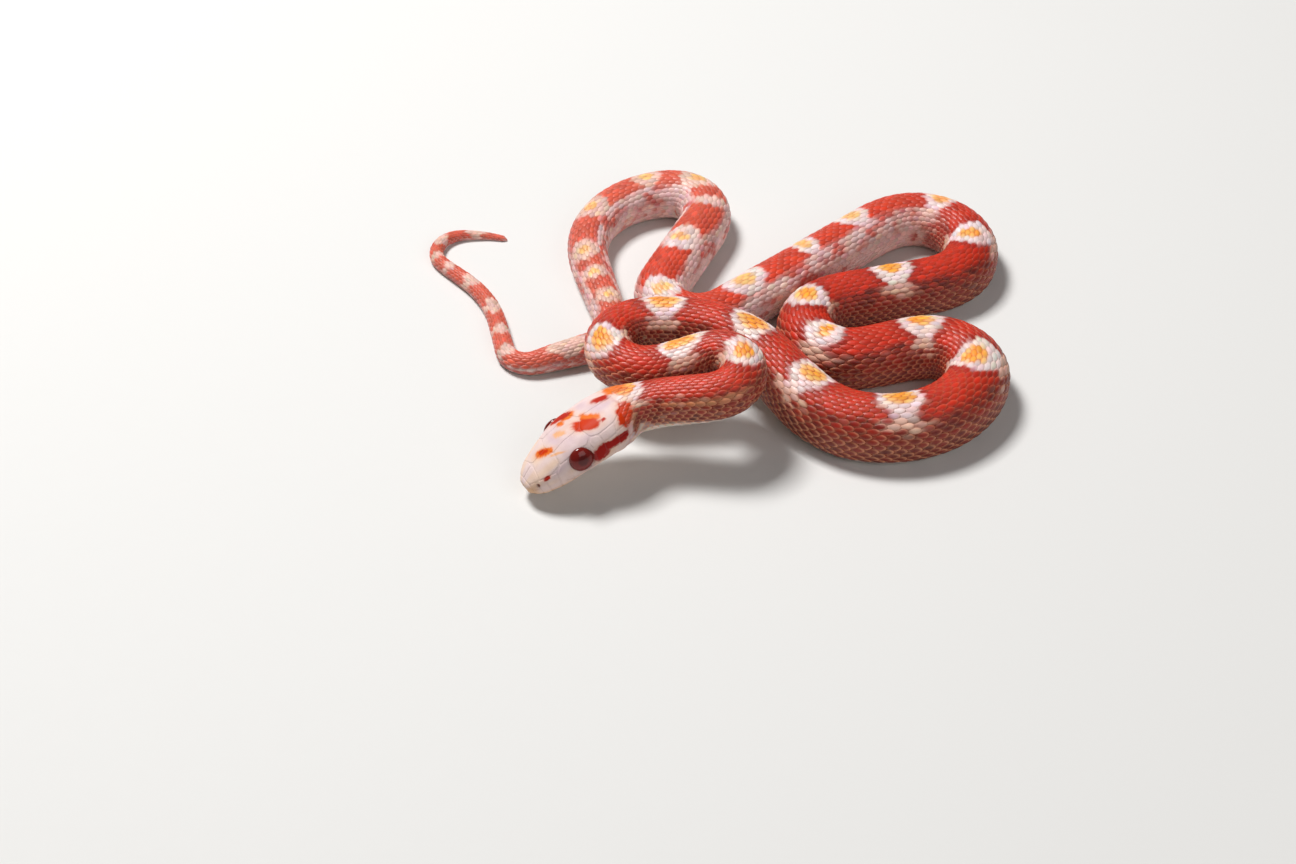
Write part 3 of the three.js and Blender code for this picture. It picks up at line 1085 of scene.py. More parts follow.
class Graph:
    """The node tree of one material, with its Principled BSDF ready."""

    def __init__(self, name: str) -> None:
        """Starts a material of that name with a shader and an output."""
        self.material = bpy.data.materials.new(name)
        self.material.use_nodes = True
        self.tree = self.material.node_tree
        self.tree.nodes.clear()
        self.shader = self.tree.nodes.new("ShaderNodeBsdfPrincipled")
        ending = self.tree.nodes.new("ShaderNodeOutputMaterial")
        self.tree.links.new(self.shader.outputs["BSDF"], ending.inputs["Surface"])

    def node(self, kind: str, settings: dict, inputs: dict, output: int | str = 0) -> Wire:
        """Adds a node.

        Args:
            kind: Its type.
            settings: Its own settings, such as an operation.
            inputs: Values or wires by the name or number of a socket.
            output: The output that is wanted.

        Returns:
            That output.
        """
        made = self.tree.nodes.new(kind)
        for key, value in settings.items():
            setattr(made, key, value)
        self.feed(made, inputs)
        return Wire(self, made.outputs[output])

    def feed(self, made: bpy.types.Node, inputs: dict) -> None:
        """Sets or links a node's inputs."""
        for key, value in inputs.items():
            if isinstance(value, Wire):
                self.tree.links.new(value.socket, made.inputs[key])
            else:
                made.inputs[key].default_value = value

    def tone(self) -> Wire:
        """The colour that the mesh holds."""
        return self.node("ShaderNodeAttribute", {"attribute_name": "tone"}, {}, "Color")

    def noise(self, scale: float, detail: float) -> Wire:
        """A noise over the object's own space.

        Args:
            scale: Its cells to the metre.
            detail: How many finer layers are added.

        Returns:
            The noise, between 0 and 1.
        """
        place = self.node("ShaderNodeTexCoord", {}, {}, "Object")
        inputs = {"Vector": place, "Scale": scale, "Detail": detail}
        return self.node("ShaderNodeTexNoise", {}, inputs, "Fac")

    def shaded(self, first: Wire, second: tuple[float, ...], share: Wire) -> Wire:
        """A colour times another, as far as the share goes, through a Mix node.

        Args:
            first: The colour.
            second: What it is multiplied by.
            share: How far.

        Returns:
            The colour that comes out.
        """
        settings = {"data_type": "RGBA", "blend_type": "MULTIPLY"}
        return self.node("ShaderNodeMix", settings, {0: share, 6: first, 7: second}, 2)


@dataclass(frozen=True)
class SkinFinish:
    """The finish of skin, scales and shields: the mesh's own colour, a little mottled, with a soft gloss."""

    name: str
    roughness: float
    coat: float
    mottle: float
    grain_scale: float
    bump: float
    specular: float = 0.35
    coat_roughness: float = 0.2
    shade: Tone = (0.45, 0.25, 0.22, 1)
    fine_ratio: float = 6.0
    gloss_spread: float = 0.2
    bump_depth: float = 0.0001

    def material(self) -> bpy.types.Material:
        """Builds the material.

        Returns:
            The finished material.
        """
        graph = Graph(self.name)
        coarse = graph.noise(self.grain_scale, 3.0)
        fine = graph.noise(self.grain_scale * self.fine_ratio, 2.0)
        bump = {"Strength": self.bump, "Distance": self.bump_depth, "Height": fine + coarse}
        graph.feed(
            graph.shader,
            {
                "Base Color": graph.shaded(graph.tone(), self.shade, coarse * self.mottle),
                "Roughness": self.roughness + (fine - 0.5) * self.gloss_spread,
                "Normal": graph.node("ShaderNodeBump", {}, bump, "Normal"),
                "Specular IOR Level": self.specular,
                "Coat Weight": self.coat,
                "Coat Roughness": self.coat_roughness,
            },
        )
        return graph.material


@dataclass(frozen=True)
class EyeFinish:
    """A deep red eye: fine rays shade the mesh's own colour, and a wet cornea lies over it."""

    name: str = "eye_finish"
    ray_scale: float = 5200.0
    ray_tone: Tone = (0.5, 0.2, 0.15, 1)
    ray_share: float = 0.8
    roughness: float = 0.3
    roughness_spread: float = 0.08
    specular: float = 0.1
    cornea: float = 0.6
    cornea_roughness: float = 0.04

    def material(self) -> bpy.types.Material:
        """Builds the material.

        Returns:
            The finished material.
        """
        graph = Graph(self.name)
        rays = graph.noise(self.ray_scale, 3.0)
        graph.feed(
            graph.shader,
            {
                "Base Color": graph.shaded(graph.tone(), self.ray_tone, rays * self.ray_share),
                "Roughness": self.roughness + rays * self.roughness_spread,
                "Specular IOR Level": self.specular,
                "Coat Weight": self.cornea,
                "Coat Roughness": self.cornea_roughness,
            },
        )
        return graph.material


@dataclass(frozen=True)
class FloorFinish:
    """A plain pale floor with a very faint tooth."""

    name: str = "floor_finish"
    tone: Tone = (0.72, 0.71, 0.69, 1)
    tooth_scale: float = 400.0
    roughness: float = 0.75
    roughness_spread: float = 0.1

    def material(self) -> bpy.types.Material:
        """Builds the material.

        Returns:
            The finished material.
        """
        graph = Graph(self.name)
        tooth = graph.noise(self.tooth_scale, 2.0)
        roughness = self.roughness + tooth * self.roughness_spread
        graph.feed(graph.shader, {"Base Color": self.tone, "Roughness": roughness})
        return graph.material


@dataclass
class Skin:
    """The one skin from snout to tail tip under the scales, with mouth, nostrils and eye sockets."""

    flesh: Flesh
    markings: Markings
    around: int = 128
    snout_rows: int = 14
    first_turn: float = 0.03
    head_spacing: float = 0.15
    head_ends: float = 16.0
    body_spacing: float = 0.6
    body_ends_before: float = 1.0
    tip_rows: tuple[float, ...] = (1, 0.7, 0.4, 0.18, 0.04)
    mouth_depth: float = 0.28
    mouth_width: float = 0.2
    mouth_begins: Span = (0.05, 0.3)
    mouth_ends: Span = (10.8, 11.9)
    eye_degrees: float = 73.0
    eye_radius: float = 1.16
    socket_depth: float = 0.55
    socket_wall: float = 0.22
    nostril: Pair = (1.4, 66.0)
    nostril_radius: float = 0.26
    nostril_depth: float = 0.3
    net_share: float = 0.28
    net_side_share: float = 0.35
    net_side: Span = (0.3, 0.6)
    net_begins: Span = (13, 16)
    seam_shade: float = 0.06
    seam_ends: Span = (12, 14)
    # Painted shade: how deep the skin must be sunk before it darkens.
    painted_recess_shade: Span = (0.05, 0.2)

    def rows(self) -> Array:
        """The places of the skin's rings.

        Round the snout they are even steps of a quarter turn, then short steps on the head and longer ones
        behind, and the last few close in on the tip.

        Returns:
            The places in millimetres.
        """
        turn = np.linspace(self.first_turn, np.pi / 2, self.snout_rows)
        snout = self.flesh.snout_round * (1 - np.cos(turn))
        head = np.arange(snout[-1] + self.head_spacing, self.head_ends, self.head_spacing)
        end = self.flesh.course.body_length
        body = np.arange(head[-1] + self.body_spacing, end - self.body_ends_before, self.body_spacing)
        tip = end - self.flesh.tail_round * np.array(self.tip_rows)
        return np.concatenate([snout, head, body, tip])

    def apart(self, s: Array, phi: Array, spot: Pair) -> Array:
        """The distance over the head from a spot on either side, in millimetres.

        Args:
            s: Places along the head.
            phi: Angles round it, in radians.
            spot: The spot's place and its angle in degrees.

        Returns:
            The distance, measured between points of the surface.
        """
        place, angle = np.array([spot[0]]), np.radians(np.array([spot[1]]))
        points = self.flesh.point(s, phi)
        near = np.linalg.norm(points - self.flesh.point(place, angle), axis=-1)
        far = np.linalg.norm(points - self.flesh.point(place, -angle), axis=-1)
        return np.minimum(near, far)

    def sunk(self, s: Array, phi: Array) -> Array:
        """How deep the skin lies at the mouth, the eye sockets and the nostrils, in millimetres.

        The mouth is a groove that fades to both sides as a bell does. A socket is flat to the eye's edge
        and rises in an eased step, and a nostril is a bell-shaped pit.

        Args:
            s: Places along the body.
            phi: Angles round it, in radians.

        Returns:
            The depth under the skin's own level.
        """
        off = (np.abs(wrap(phi)) - self.flesh.mouth_angle(s)) * along(self.flesh.head_width, s)
        fade = (1 - step_up(s, *self.mouth_ends)) * step_up(s, *self.mouth_begins)
        mouth = self.mouth_depth * np.exp(-((off / self.mouth_width) ** 2)) * fade
        from_eye = self.apart(s, phi, (self.flesh.eye_at, self.eye_degrees))
        wall = step_up(from_eye, self.eye_radius, self.eye_radius + self.socket_wall)
        return mouth + self.socket_depth * (1 - wall) + self.nostril_depth * self.pit(s, phi)

    def pit(self, s: Array, phi: Array) -> Array:
        """How deep a point lies in a nostril, 1 at its middle and falling as a bell does."""
        return np.exp(-((self.apart(s, phi, self.nostril) / self.nostril_radius) ** 2))

    def build(self, material: bpy.types.Material) -> bpy.types.Object:
        """Makes the skin as rings of one count, closed by a fan at the snout and at the tail's tip.

        Between the scales it takes the colour of a net, stronger on the side. It is a little darker in the
        seams between the head's shields, and where it is sunk, at the mouth, the eye sockets and the
        nostrils, it is darkened with painted shade.

        Args:
            material: The skin's finish.

        Returns:
            The piece, which stands for every node of flesh.
        """
        rows = self.rows()
        phi = np.arange(self.around) * 2 * np.pi / self.around
        s, angle = np.meshgrid(rows, phi, indexing="ij")
        sunk = np.zeros_like(s)
        on_head = rows < self.head_ends
        sunk[on_head] = self.sunk(s[on_head], angle[on_head])
        points = self.flesh.raised(s, angle, -sunk)
        tone = self.markings.colour(s, angle, between=True)
        side = step_up(np.abs(self.markings.share_of_side(angle)), *self.net_side)
        net = blend(Pigment.NET, Pigment.FLANK_NET, side)
        net = blend(net, Pigment.RIM_REAR, self.markings.rear_share(s))
        net_share = self.net_share + self.net_side_share * side
        tone = blend(tone, net, net_share * step_up(s, *self.net_begins))
        tone = tone * (1 - self.seam_shade * (1 - step_up(s, *self.seam_ends)))[..., None]
        # Painted shade in the sunk mouth groove, eye sockets and nostrils.
        tone = blend(tone, Pigment.RECESS_SHADE, step_up(sunk, *self.painted_recess_shade))
        shape = Shape(
            np.concatenate([points.reshape(-1, 3), [points[0].mean(0), points[-1].mean(0)]]),
            tube_faces(self.around, len(rows)),
            np.concatenate([tone.reshape(-1, 3), tone[:1, 0], tone[-1:, 0]]),
        )
        made = shape.piece("skin", material, "body_skin")
        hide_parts(*FLESH_NODES)
        return made


@dataclass
class ScalePattern:
    """One scale's own shape, in shares of its half length and half width.

    It is rings of points round a middle, and an underside.
    """

    sides: int = 12
    rings: tuple[float, ...] = (0.55, 0.85, 1.0, 1.0)
    roundness: float = 1.9
    dome: float = 0.6
    tip_rise: float = 0.45
    tip_curve: float = 1.3
    skirt: float = 0.6

    def points(self) -> tuple[Array, Array, Array]:
        """The scale's points.

        The outline is a rounded diamond: the sizes of x and y, each raised to the roundness, add up to
        one. The height is a dome that falls as the square of the ring, on a slope that rises to the tip.

        Returns:
            x along the body, y round it, and the height, all as shares.
        """
        turn = np.arange(self.sides) * 2 * np.pi / self.sides
        total = np.abs(np.cos(turn)) ** self.roundness + np.abs(np.sin(turn)) ** self.roundness
        size = total ** (-1 / self.roundness)
        ring = np.array(self.rings)[:, None]
        x = np.append(0, ring * (np.cos(turn) * size))
        y = np.append(0, ring * (np.sin(turn) * size))
        far = np.append(0, np.repeat(self.rings, self.sides))
        slope = self.tip_rise * ((x + 1) / 2) ** self.tip_curve
        height = slope + self.dome * (1 - far**2)
        height[-self.sides:] -= self.skirt
        return x, y, height


@dataclass
class Coat:
    """The scales of the back and sides, set in slanting rows that run out along the belly's edge."""

    flesh: Flesh
    markings: Markings
    pattern: ScalePattern = field(default_factory=ScalePattern)
    starts: float = 10.5
    ends: float = 302.4
    shields_end: Table = (
        (0, 13.2), (12, 13.4), (28, 13.1), (40, 12.9), (62, 12.9), (90, 12.6), (105, 11.9), (128, 11.5),
    )
    pitch_along: Table = (
        (10, 0.8), (24, 0.95), (60, 1.1), (85, 1.2), (125, 1.18), (165, 1.12), (222, 1.08), (250, 1.0),
        (264, 0.9), (280, 0.8), (294, 0.7), (303, 0.5),
    )
    pitch_across: Table = (
        (10, 0.44), (24, 0.51), (60, 0.55), (85, 0.63), (125, 0.58), (165, 0.57), (222, 0.56),
        (250, 0.5), (264, 0.43), (280, 0.4), (294, 0.33), (303, 0.22),
    )
    count_step: float = 0.05
    rows_each_side: int = 17
    chords: int = 399
    head_girth: Span = (17, 12)
    head_girth_share: float = 0.97
    vent: float = 257.0
    tail_side: float = math.radians(150)
    pieces: tuple[tuple[str, float], ...] = (
        ("scales_neck", 62.0),
        ("scales_front", 122.0),
        ("scales_middle", 182.0),
        ("scales_rear", 257.0),
        ("scales_tail", 303.0),
    )

    length_share: float = 1.3
    width_share: float = 0.64
    stretch_powers: Pair = (0.75, 0.3)
    relief: float = 0.15
    relief_at: float = 1.15
    size_spread: float = 0.04
    tilt_spread: float = 0.05
    tilt_share: float = 0.3
    height_spread: float = 0.08
    seed: int = 41

    one_tone: float = 0.6
    light_spread: float = 0.09
    hue_spread: float = 0.05
    # Painted shade: each scale is darker towards its root, where it lies under the scale ahead.
    painted_root_shade: float = 0.25
    painted_root_begins: Span = (0.0, 0.9)
    line_share: float = 0.7
    line_begins: Span = (0.5, 0.95)
    rim_begins: Span = (0.4, 1.0)
    rim_root_share: float = 0.4
    rim_tip: Span = (-0.2, 0.7)
    rim_share: float = 0.08
    front_rim_share: float = 0.12
    front_ends: Span = (130, 95)
    side_rim_share: float = 0.6
    side_begins: Span = (0.3, 0.7)
    rear_rim_loses: float = 0.3
    map_turn: float = 0.47

    def steps(self) -> Array:
        """The short steps along the body over which the scales are counted."""
        return np.arange(self.starts, self.ends, self.count_step)

    def count_at(self, s: Array) -> Array:
        """How many scales fit between the start and s: the sum of each short step over the pitch there."""
        steps = self.steps()
        counts = np.append(0, np.cumsum(self.count_step / along(self.pitch_along, steps)))
        return np.interp(s, np.append(steps, self.ends), counts)

    def lattice(self) -> tuple[Array, Array]:
        """The middles of all scales.

        Row j lies j pitches round from the back. Even rows hold whole counts along the body and odd rows
        lie half a scale between, and a row ends where the belly begins.

        Returns:
            The place and the angle of each scale.
        """
        steps = self.steps()
        counts = self.count_at(steps)
        rows = np.arange(-self.rows_each_side, self.rows_each_side + 1)
        whole = np.arange(int(counts[-1]) + 1)
        number = whole[None] + 0.5 * (rows[:, None] % 2)
        s = np.interp(number, counts, steps)
        radius = along(self.flesh.girth, s)
        head = step_up(s, *self.head_girth)
        radius = radius * (1 - head) + self.head_girth_share * along(self.flesh.head_width, s) * head
        phi = self.angle_at(rows[:, None] * along(self.pitch_across, s) / radius)
        side = np.where(s > self.vent, self.tail_side, self.markings.side_angle)
        keep = (np.abs(phi) < side) & (s > self.head_edge(phi)) & (number <= counts[-1])
        return s[keep], phi[keep]

    def angle_at(self, distance: Array) -> Array:
        """The angle from the back at a distance over the skin round the section.

        The section of half width one is cut into short chords, and the distance is read off their sum.

        Args:
            distance: Distances as a share of the half width, with a sign for the side.

        Returns:
            The angles in radians.
        """
        turn = np.linspace(0, np.pi, self.chords + 1)
        place, half = self.flesh.girth[0]
        side, height = self.flesh.body_section(np.full_like(turn, place), turn)
        chords = np.hypot(np.diff(side), np.diff(height)) / half
        run = np.append(0, np.cumsum(chords))
        return np.sign(distance) * np.interp(np.abs(distance), run, turn)

    def head_edge(self, phi: Array) -> Array:
        """Where the scales begin behind the head's shields, for each angle round the head."""
        degrees, places = np.array(self.shields_end).T
        return np.interp(np.degrees(np.abs(phi)), degrees, places)

    def place(self, s: Array, phi: Array) -> Shape:
        """Puts the scale's shape at each middle.

        Its own x and y become steps of s and phi, and a small tilt turns them. The steps are shorter where
        the outside of a bend stretches the skin, so that a scale keeps its size and the skin shows between.

        Args:
            s: Places of the scales.
            phi: Their angles, in radians.

        Returns:
            All the scales as one shape.
        """
        x, y, height = self.pattern.points()
        by_s, by_phi = self.flesh.slopes(s, phi)
        stretch = np.linalg.norm(by_s, axis=-1)
        radius = np.linalg.norm(by_phi, axis=-1)
        outside, inside = self.stretch_powers
        stretch = np.where(stretch > 1, stretch**outside, stretch**inside)
        draw = np.random.default_rng(self.seed)
        size = 1 + self.size_spread * draw.standard_normal(len(s))
        half_long = 0.5 * self.length_share * along(self.pitch_along, s) * size / stretch
        half_wide = self.width_share * along(self.pitch_across, s) * size / radius
        tilt = (self.tilt_spread * draw.standard_normal(len(s)))[:, None]
        scale_s = s[:, None] + half_long[:, None] * (x + self.tilt_share * tilt * y)
        scale_phi = phi[:, None] + half_wide[:, None] * (y - tilt * x)
        relief = self.relief * along(self.pitch_along, s) / self.relief_at
        relief = relief * (1 + self.height_spread * draw.standard_normal(len(s)))
        scale_s = self.flesh.kept_on(scale_s)
        points = self.flesh.raised(scale_s, scale_phi, relief[:, None] * height)
        tone = self.dress((s, phi), (scale_s, scale_phi), (x, y), draw)
        one = cushion_faces(self.pattern.sides, len(self.pattern.rings))
        plan = bake_plan(s, 0.5 + self.map_turn * phi / np.pi, x, y)
        return Shape(points.reshape(-1, 3), repeated(one, len(s), len(x)), tone.reshape(-1, 3), plan)

    def dress(
        self,
        middles: tuple[Array, Array],
        places: tuple[Array, Array],
        own: tuple[Array, Array],
        draw: np.random.Generator,
    ) -> Array:
        """The scales' colours: a mix of the marking at the scale's middle and at each of its points.

        Each scale is a little lighter or darker, and darker at its root, painted shade where it lies under
        the scale ahead. It is paler at its rim, the more so towards its tip and down the side. In an orange
        oval its edge is red.

        Args:
            middles: Places and angles of the scales' middles.
            places: Places and angles of all their points.
            own: A scale's own points, along the body and round it.
            draw: The random draw.

        Returns:
            A colour for each point of each scale.
        """
        s, phi = middles
        x, far = own[0], np.hypot(*own)
        middle = self.markings.colour(s, phi)[:, None, :]
        tone = middle * self.one_tone + self.markings.colour(*places) * (1 - self.one_tone)
        light = np.exp(self.light_spread * draw.standard_normal((len(s), 1, 1)))
        hue = 1 + self.hue_spread * draw.standard_normal((len(s), 1, 3))
        # Painted shade at the root of each scale, where it lies under the scale ahead.
        root = step_up(-x, *self.painted_root_begins)[:, None]
        tone = np.clip(tone * light * hue * (1 - self.painted_root_shade * root), 0, 1)
        line = self.markings.colour(*places, between=True)
        tone = blend(tone, line * light, self.line_share * step_up(far, *self.line_begins)[None])
        rim = self.rim_root_share + (1 - self.rim_root_share) * step_up(x, *self.rim_tip)
        rim = (step_up(far, *self.rim_begins) * rim)[None]
        side = step_up(np.abs(self.markings.share_of_side(phi)), *self.side_begins)[:, None]
        rear = self.markings.rear_share(s)[:, None]
        front = step_up(s, *self.front_ends)[:, None]
        side_share = self.side_rim_share * side * (1 - self.rear_rim_loses * rear)
        share = self.rim_share + self.front_rim_share * front + side_share
        return blend(tone, blend(Pigment.RIM, Pigment.RIM_REAR, rear), rim * share)

    def build(self, material: bpy.types.Material) -> list[bpy.types.Object]:
        """Makes the scales, in lengths of the body that stay light enough.

        Args:
            material: The scales' finish.

        Returns:
            The pieces from neck to tail.
        """
        s, phi = self.lattice()
        made = []
        begins = 0.0
        for name, ends in self.pieces:
            here = (s >= begins) & (s < ends)
            slot = "tail_skin" if begins >= self.vent else "body_skin"
            made.append(self.place(s[here], phi[here]).piece(name, material, slot))
            begins = ends
        return made


@dataclass
class BellyPlates:
    """The broad plates under the body, and the pairs of small ones under the tail."""

    flesh: Flesh
    markings: Markings
    coat: Coat
    starts: float = 15.5
    stations: int = 11
    half_angle: float = math.radians(56)
    tail_half_angle: float = math.radians(34)
    pair_gap: float = 0.02
    ends_before: float = 0.6
    overlap: float = 1.3
    relief: float = 0.1
    full_girth: float = 2.2
    side_relief: float = 0.35
    side_power: float = 8.0
    profile: Table = ((-1, -0.6), (-0.9, 0.25), (0.2, 0.6), (0.92, 1.0), (1.0, 0.3))

    def build(self, material: bpy.types.Material) -> bpy.types.Object:
        """Makes the plates: each is a closed outline of five points, carried round the belly.

        There is one to each scale of the back, and behind the vent there are two, side by side. A plate is
        proud in its middle and flattens to its sides by the eighth power of the distance from its middle.

        Args:
            material: The plates' finish.

        Returns:
            The piece.
        """
        bounds = np.array([self.starts, self.coat.vent, self.coat.ends - self.ends_before])
        first, vent, last = self.coat.count_at(bounds)
        steps = self.coat.steps()
        number = self.coat.count_at(steps)
        body = np.interp(np.arange(math.ceil(first), vent), number, steps)
        tail = np.interp(np.arange(math.ceil(vent), last), number, steps)
        middle = np.concatenate([body, tail, tail])
        spans = [
            np.tile([[-self.half_angle, self.half_angle]], (len(body), 1)),
            np.tile([[-self.tail_half_angle, -self.pair_gap]], (len(tail), 1)),
            np.tile([[self.pair_gap, self.tail_half_angle]], (len(tail), 1)),
        ]
        span = np.concatenate(spans)
        run, height = np.array(self.profile).T[..., None]
        across = np.linspace(-1, 1, self.stations)
        half_long = 0.5 * self.overlap * along(self.coat.pitch_along, middle)
        s = middle[:, None, None] + half_long[:, None, None] * run + 0 * across
        share = (across + 1) / 2
        phi = np.pi + span[:, :1, None] * (1 - share) + span[:, 1:, None] * share + 0 * s
        flat = 1 - np.abs(across) ** self.side_power
        flat = self.side_relief + (1 - self.side_relief) * flat
        sized = np.minimum(1, along(self.flesh.girth, middle) / self.full_girth)[:, None, None]
        points = self.flesh.raised(self.flesh.kept_on(s), phi, self.relief * sized * (height * flat))
        tone = self.markings.colour(self.flesh.kept_on(s), phi)
        x, y = (own.ravel() for own in np.broadcast_arrays(run, across))
        plan = bake_plan(middle, 0.5 + span.mean(1) / 4, x, y)
        faces = repeated(self.own_faces(len(run)), len(middle), len(run) * self.stations)
        shape = Shape(points.reshape(-1, 3), faces, tone.reshape(-1, 3), plan)
        return shape.piece("belly_plates", material, "body_skin")

    def own_faces(self, corners: int) -> list[Array]:
        """The faces of one plate.

        Args:
            corners: The points of its outline.

        Returns:
            Two arrays of corners: the quads from station to station, and the two caps.
        """
        ring = np.arange(corners)
        station = np.arange(self.stations - 1)
        corner = ring[:, None] * self.stations + station
        beside = ((ring + 1) % corners)[:, None] * self.stations + station
        quads = np.stack([corner, corner + 1, beside + 1, beside], -1).reshape(-1, 4)
        return [quads, np.stack([ring * self.stations, (ring * self.stations + self.stations - 1)[::-1]])]


@dataclass(frozen=True)
class Shield:
    """One shield of the head: its name, and its corners for one side as places and angles in degrees."""

    name: str
    corners: tuple[tuple[float, float], ...]
    middle: bool = False


@dataclass
class HeadShields:
    """The large smooth plates of the head: low cushions with rounded edges and fine seams between."""

    flesh: Flesh
    markings: Markings
    skin: Skin
    rise: float = 0.038
    seam: float = 0.022
    per_edge: int = 9
    roundings: int = 2
    rings: tuple[float, ...] = (0.14, 0.28, 0.42, 0.55, 0.67, 0.78, 0.87, 0.94, 0.98, 1.0, 1.0)
    heights: tuple[float, ...] = (1.0, 1.0, 1.0, 1.0, 1.0, 1.0, 0.98, 0.9, 0.7, 0.4, -0.9)
    upper_lip_seams: tuple[float, ...] = (0.8, 1.55, 2.5, 3.7, 5.1, 6.9, 8.7, 10.2, 11.6)
    lower_lip_seams: tuple[float, ...] = (0.6, 1.4, 2.3, 3.3, 4.5, 5.8, 7.2, 8.6, 10.0, 11.2)
    upper_lip_top: Table = ((0.7, 78), (2, 81), (4, 86), (5.3, 93), (8.3, 93), (9.6, 84), (12, 88))
    lower_lip_under: float = 146.0
    lip_gap: float = 0.03
    upper_lip_margin: float = 1.5
    lower_lip_margin: float = 2.5
    first_place: float = 0.02
    nostril_depth: float = 0.35
    # Painted shade: how deep in a nostril the shields darken.
    painted_nostril_shade: Span = (0.25, 0.8)
    rostral_sides: int = 72
    rostral_reach: float = 0.66
    rostral_narrows: Pair = (1.4, 0.1)
    rostral_mouth: Span = (0.07, 0.9)
    rostral_first: Pair = (0.003, 0.004)
    plates: tuple[Shield, ...] = (
        Shield("frontal", (
            (4.55, -8), (4.9, -18), (6.5, -14), (8.4, -14.5), (9.1, 0),
            (8.4, 14.5), (6.5, 14), (4.9, 18), (4.55, 8),
        ), True),
        Shield("internasal", ((0.72, 0), (0.72, 40), (1.85, 50), (2.3, 0))),
        Shield("prefrontal", ((2.35, 0), (1.9, 50), (3.1, 57), (4.6, 50), (4.86, 19), (4.5, 0))),
        Shield("supraocular", (
            (4.95, 19.5), (4.7, 50), (5.7, 50), (6.9, 46), (8.2, 50), (8.7, 40), (8.45, 16), (6.5, 15.2),
        )),
        Shield("parietal", (
            (9.15, 0), (8.5, 16), (8.8, 40), (9.6, 46), (11.6, 43), (12.9, 28), (13.2, 9), (12.8, 0),
        )),
        Shield("nasal_front", ((0.75, 42), (0.72, 78), (1.37, 81), (1.37, 48))),
        Shield("nasal_rear", ((1.43, 49), (1.43, 81), (2.4, 84), (2.4, 56), (1.9, 52))),
        Shield("loreal", ((2.46, 57), (2.46, 84), (3.7, 87), (3.9, 62), (3.1, 59))),
        Shield("preocular", (
            (3.96, 62), (3.76, 87), (5.1, 93), (5.4, 84), (5.35, 62), (5.6, 52), (4.7, 52),
        )),
        Shield("postocular_upper", ((8.4, 53), (8.8, 42), (9.55, 48), (9.6, 65), (8.5, 68))),
        Shield("postocular_lower", ((8.52, 70), (9.6, 67), (9.5, 83), (8.7, 92), (8.3, 88))),
        Shield("temporal_upper", ((9.65, 48), (9.7, 65), (11.2, 64), (11.5, 45))),
        Shield("temporal_lower", ((9.7, 67), (9.6, 83), (11.1, 85), (11.2, 66))),
        Shield("temporal_rear_upper", ((11.6, 45), (11.3, 62), (12.6, 62), (12.8, 44), (12.6, 36))),
        Shield("temporal_rear_middle", ((11.3, 64), (11.25, 76), (12.4, 78), (12.6, 64))),
        Shield("temporal_rear_lower", ((11.2, 78), (11.15, 87), (12.2, 92), (12.4, 80))),
        Shield("mental", ((0.25, 180), (0.4, 158), (1.1, 152), (1.25, 180), (1.1, 208), (0.4, 202)), True),
        Shield("chin_front", ((1.3, 180), (1.2, 153), (3.9, 148), (4.4, 180))),
        Shield("chin_rear", ((4.5, 180), (4.0, 149), (7.0, 151), (7.4, 176))),
    )

    def lip_shields(self) -> list[Shield]:
        """The plates along both lips, from seam to seam and from the mouth to the plates beyond.

        Returns:
            The shields of one side.
        """
        under = self.lower_lip_under
        lips = (
            ("upper_lip", self.upper_lip_seams, self.upper_lip_top, -self.upper_lip_margin),
            ("lower_lip", self.lower_lip_seams, ((0, under), (1, under)), self.lower_lip_margin),
        )
        made = []
        for name, seams, beyond, margin in lips:
            for k, (low, high) in enumerate(zip(seams[:-1], seams[1:])):
                s = np.array([low + self.lip_gap, high - self.lip_gap])
                lip = np.degrees(self.flesh.mouth_angle(s)) + margin
                far = along(beyond, s)
                if margin < 0:
                    corners = ((s[0], far[0]), (s[0], lip[0]), (s[1], lip[1]), (s[1], far[1]))
                else:
                    corners = ((s[0], lip[0]), (s[0], far[0]), (s[1], far[1]), (s[1], lip[1]))
                made.append(Shield(f"{name}_{k + 1}", corners))
        return made

    def outline(self, corners: Array) -> Array:
        """A shield's edge with rounded corners.

        The corners are put in the order that lets the faces look outward. Each edge is cut evenly, and
        each point is then averaged with its neighbours, which rounds the corners and leaves the middles of
        the edges straight.

        Args:
            corners: Rows of place and angle.

        Returns:
            Rows of place and angle round the edge.
        """
        following = np.roll(corners, -1, 0)
        if np.sum(corners[:, 0] * following[:, 1] - following[:, 0] * corners[:, 1]) < 0:
            corners, following = corners[::-1], np.roll(corners[::-1], -1, 0)
        t = (np.arange(self.per_edge) / self.per_edge)[None, :, None]
        edge = (corners[:, None] * (1 - t) + following[:, None] * t).reshape(-1, 2)
        for _ in range(self.roundings):
            edge = (np.roll(edge, 1, 0) + 2 * edge + np.roll(edge, -1, 0)) / 4
        return edge

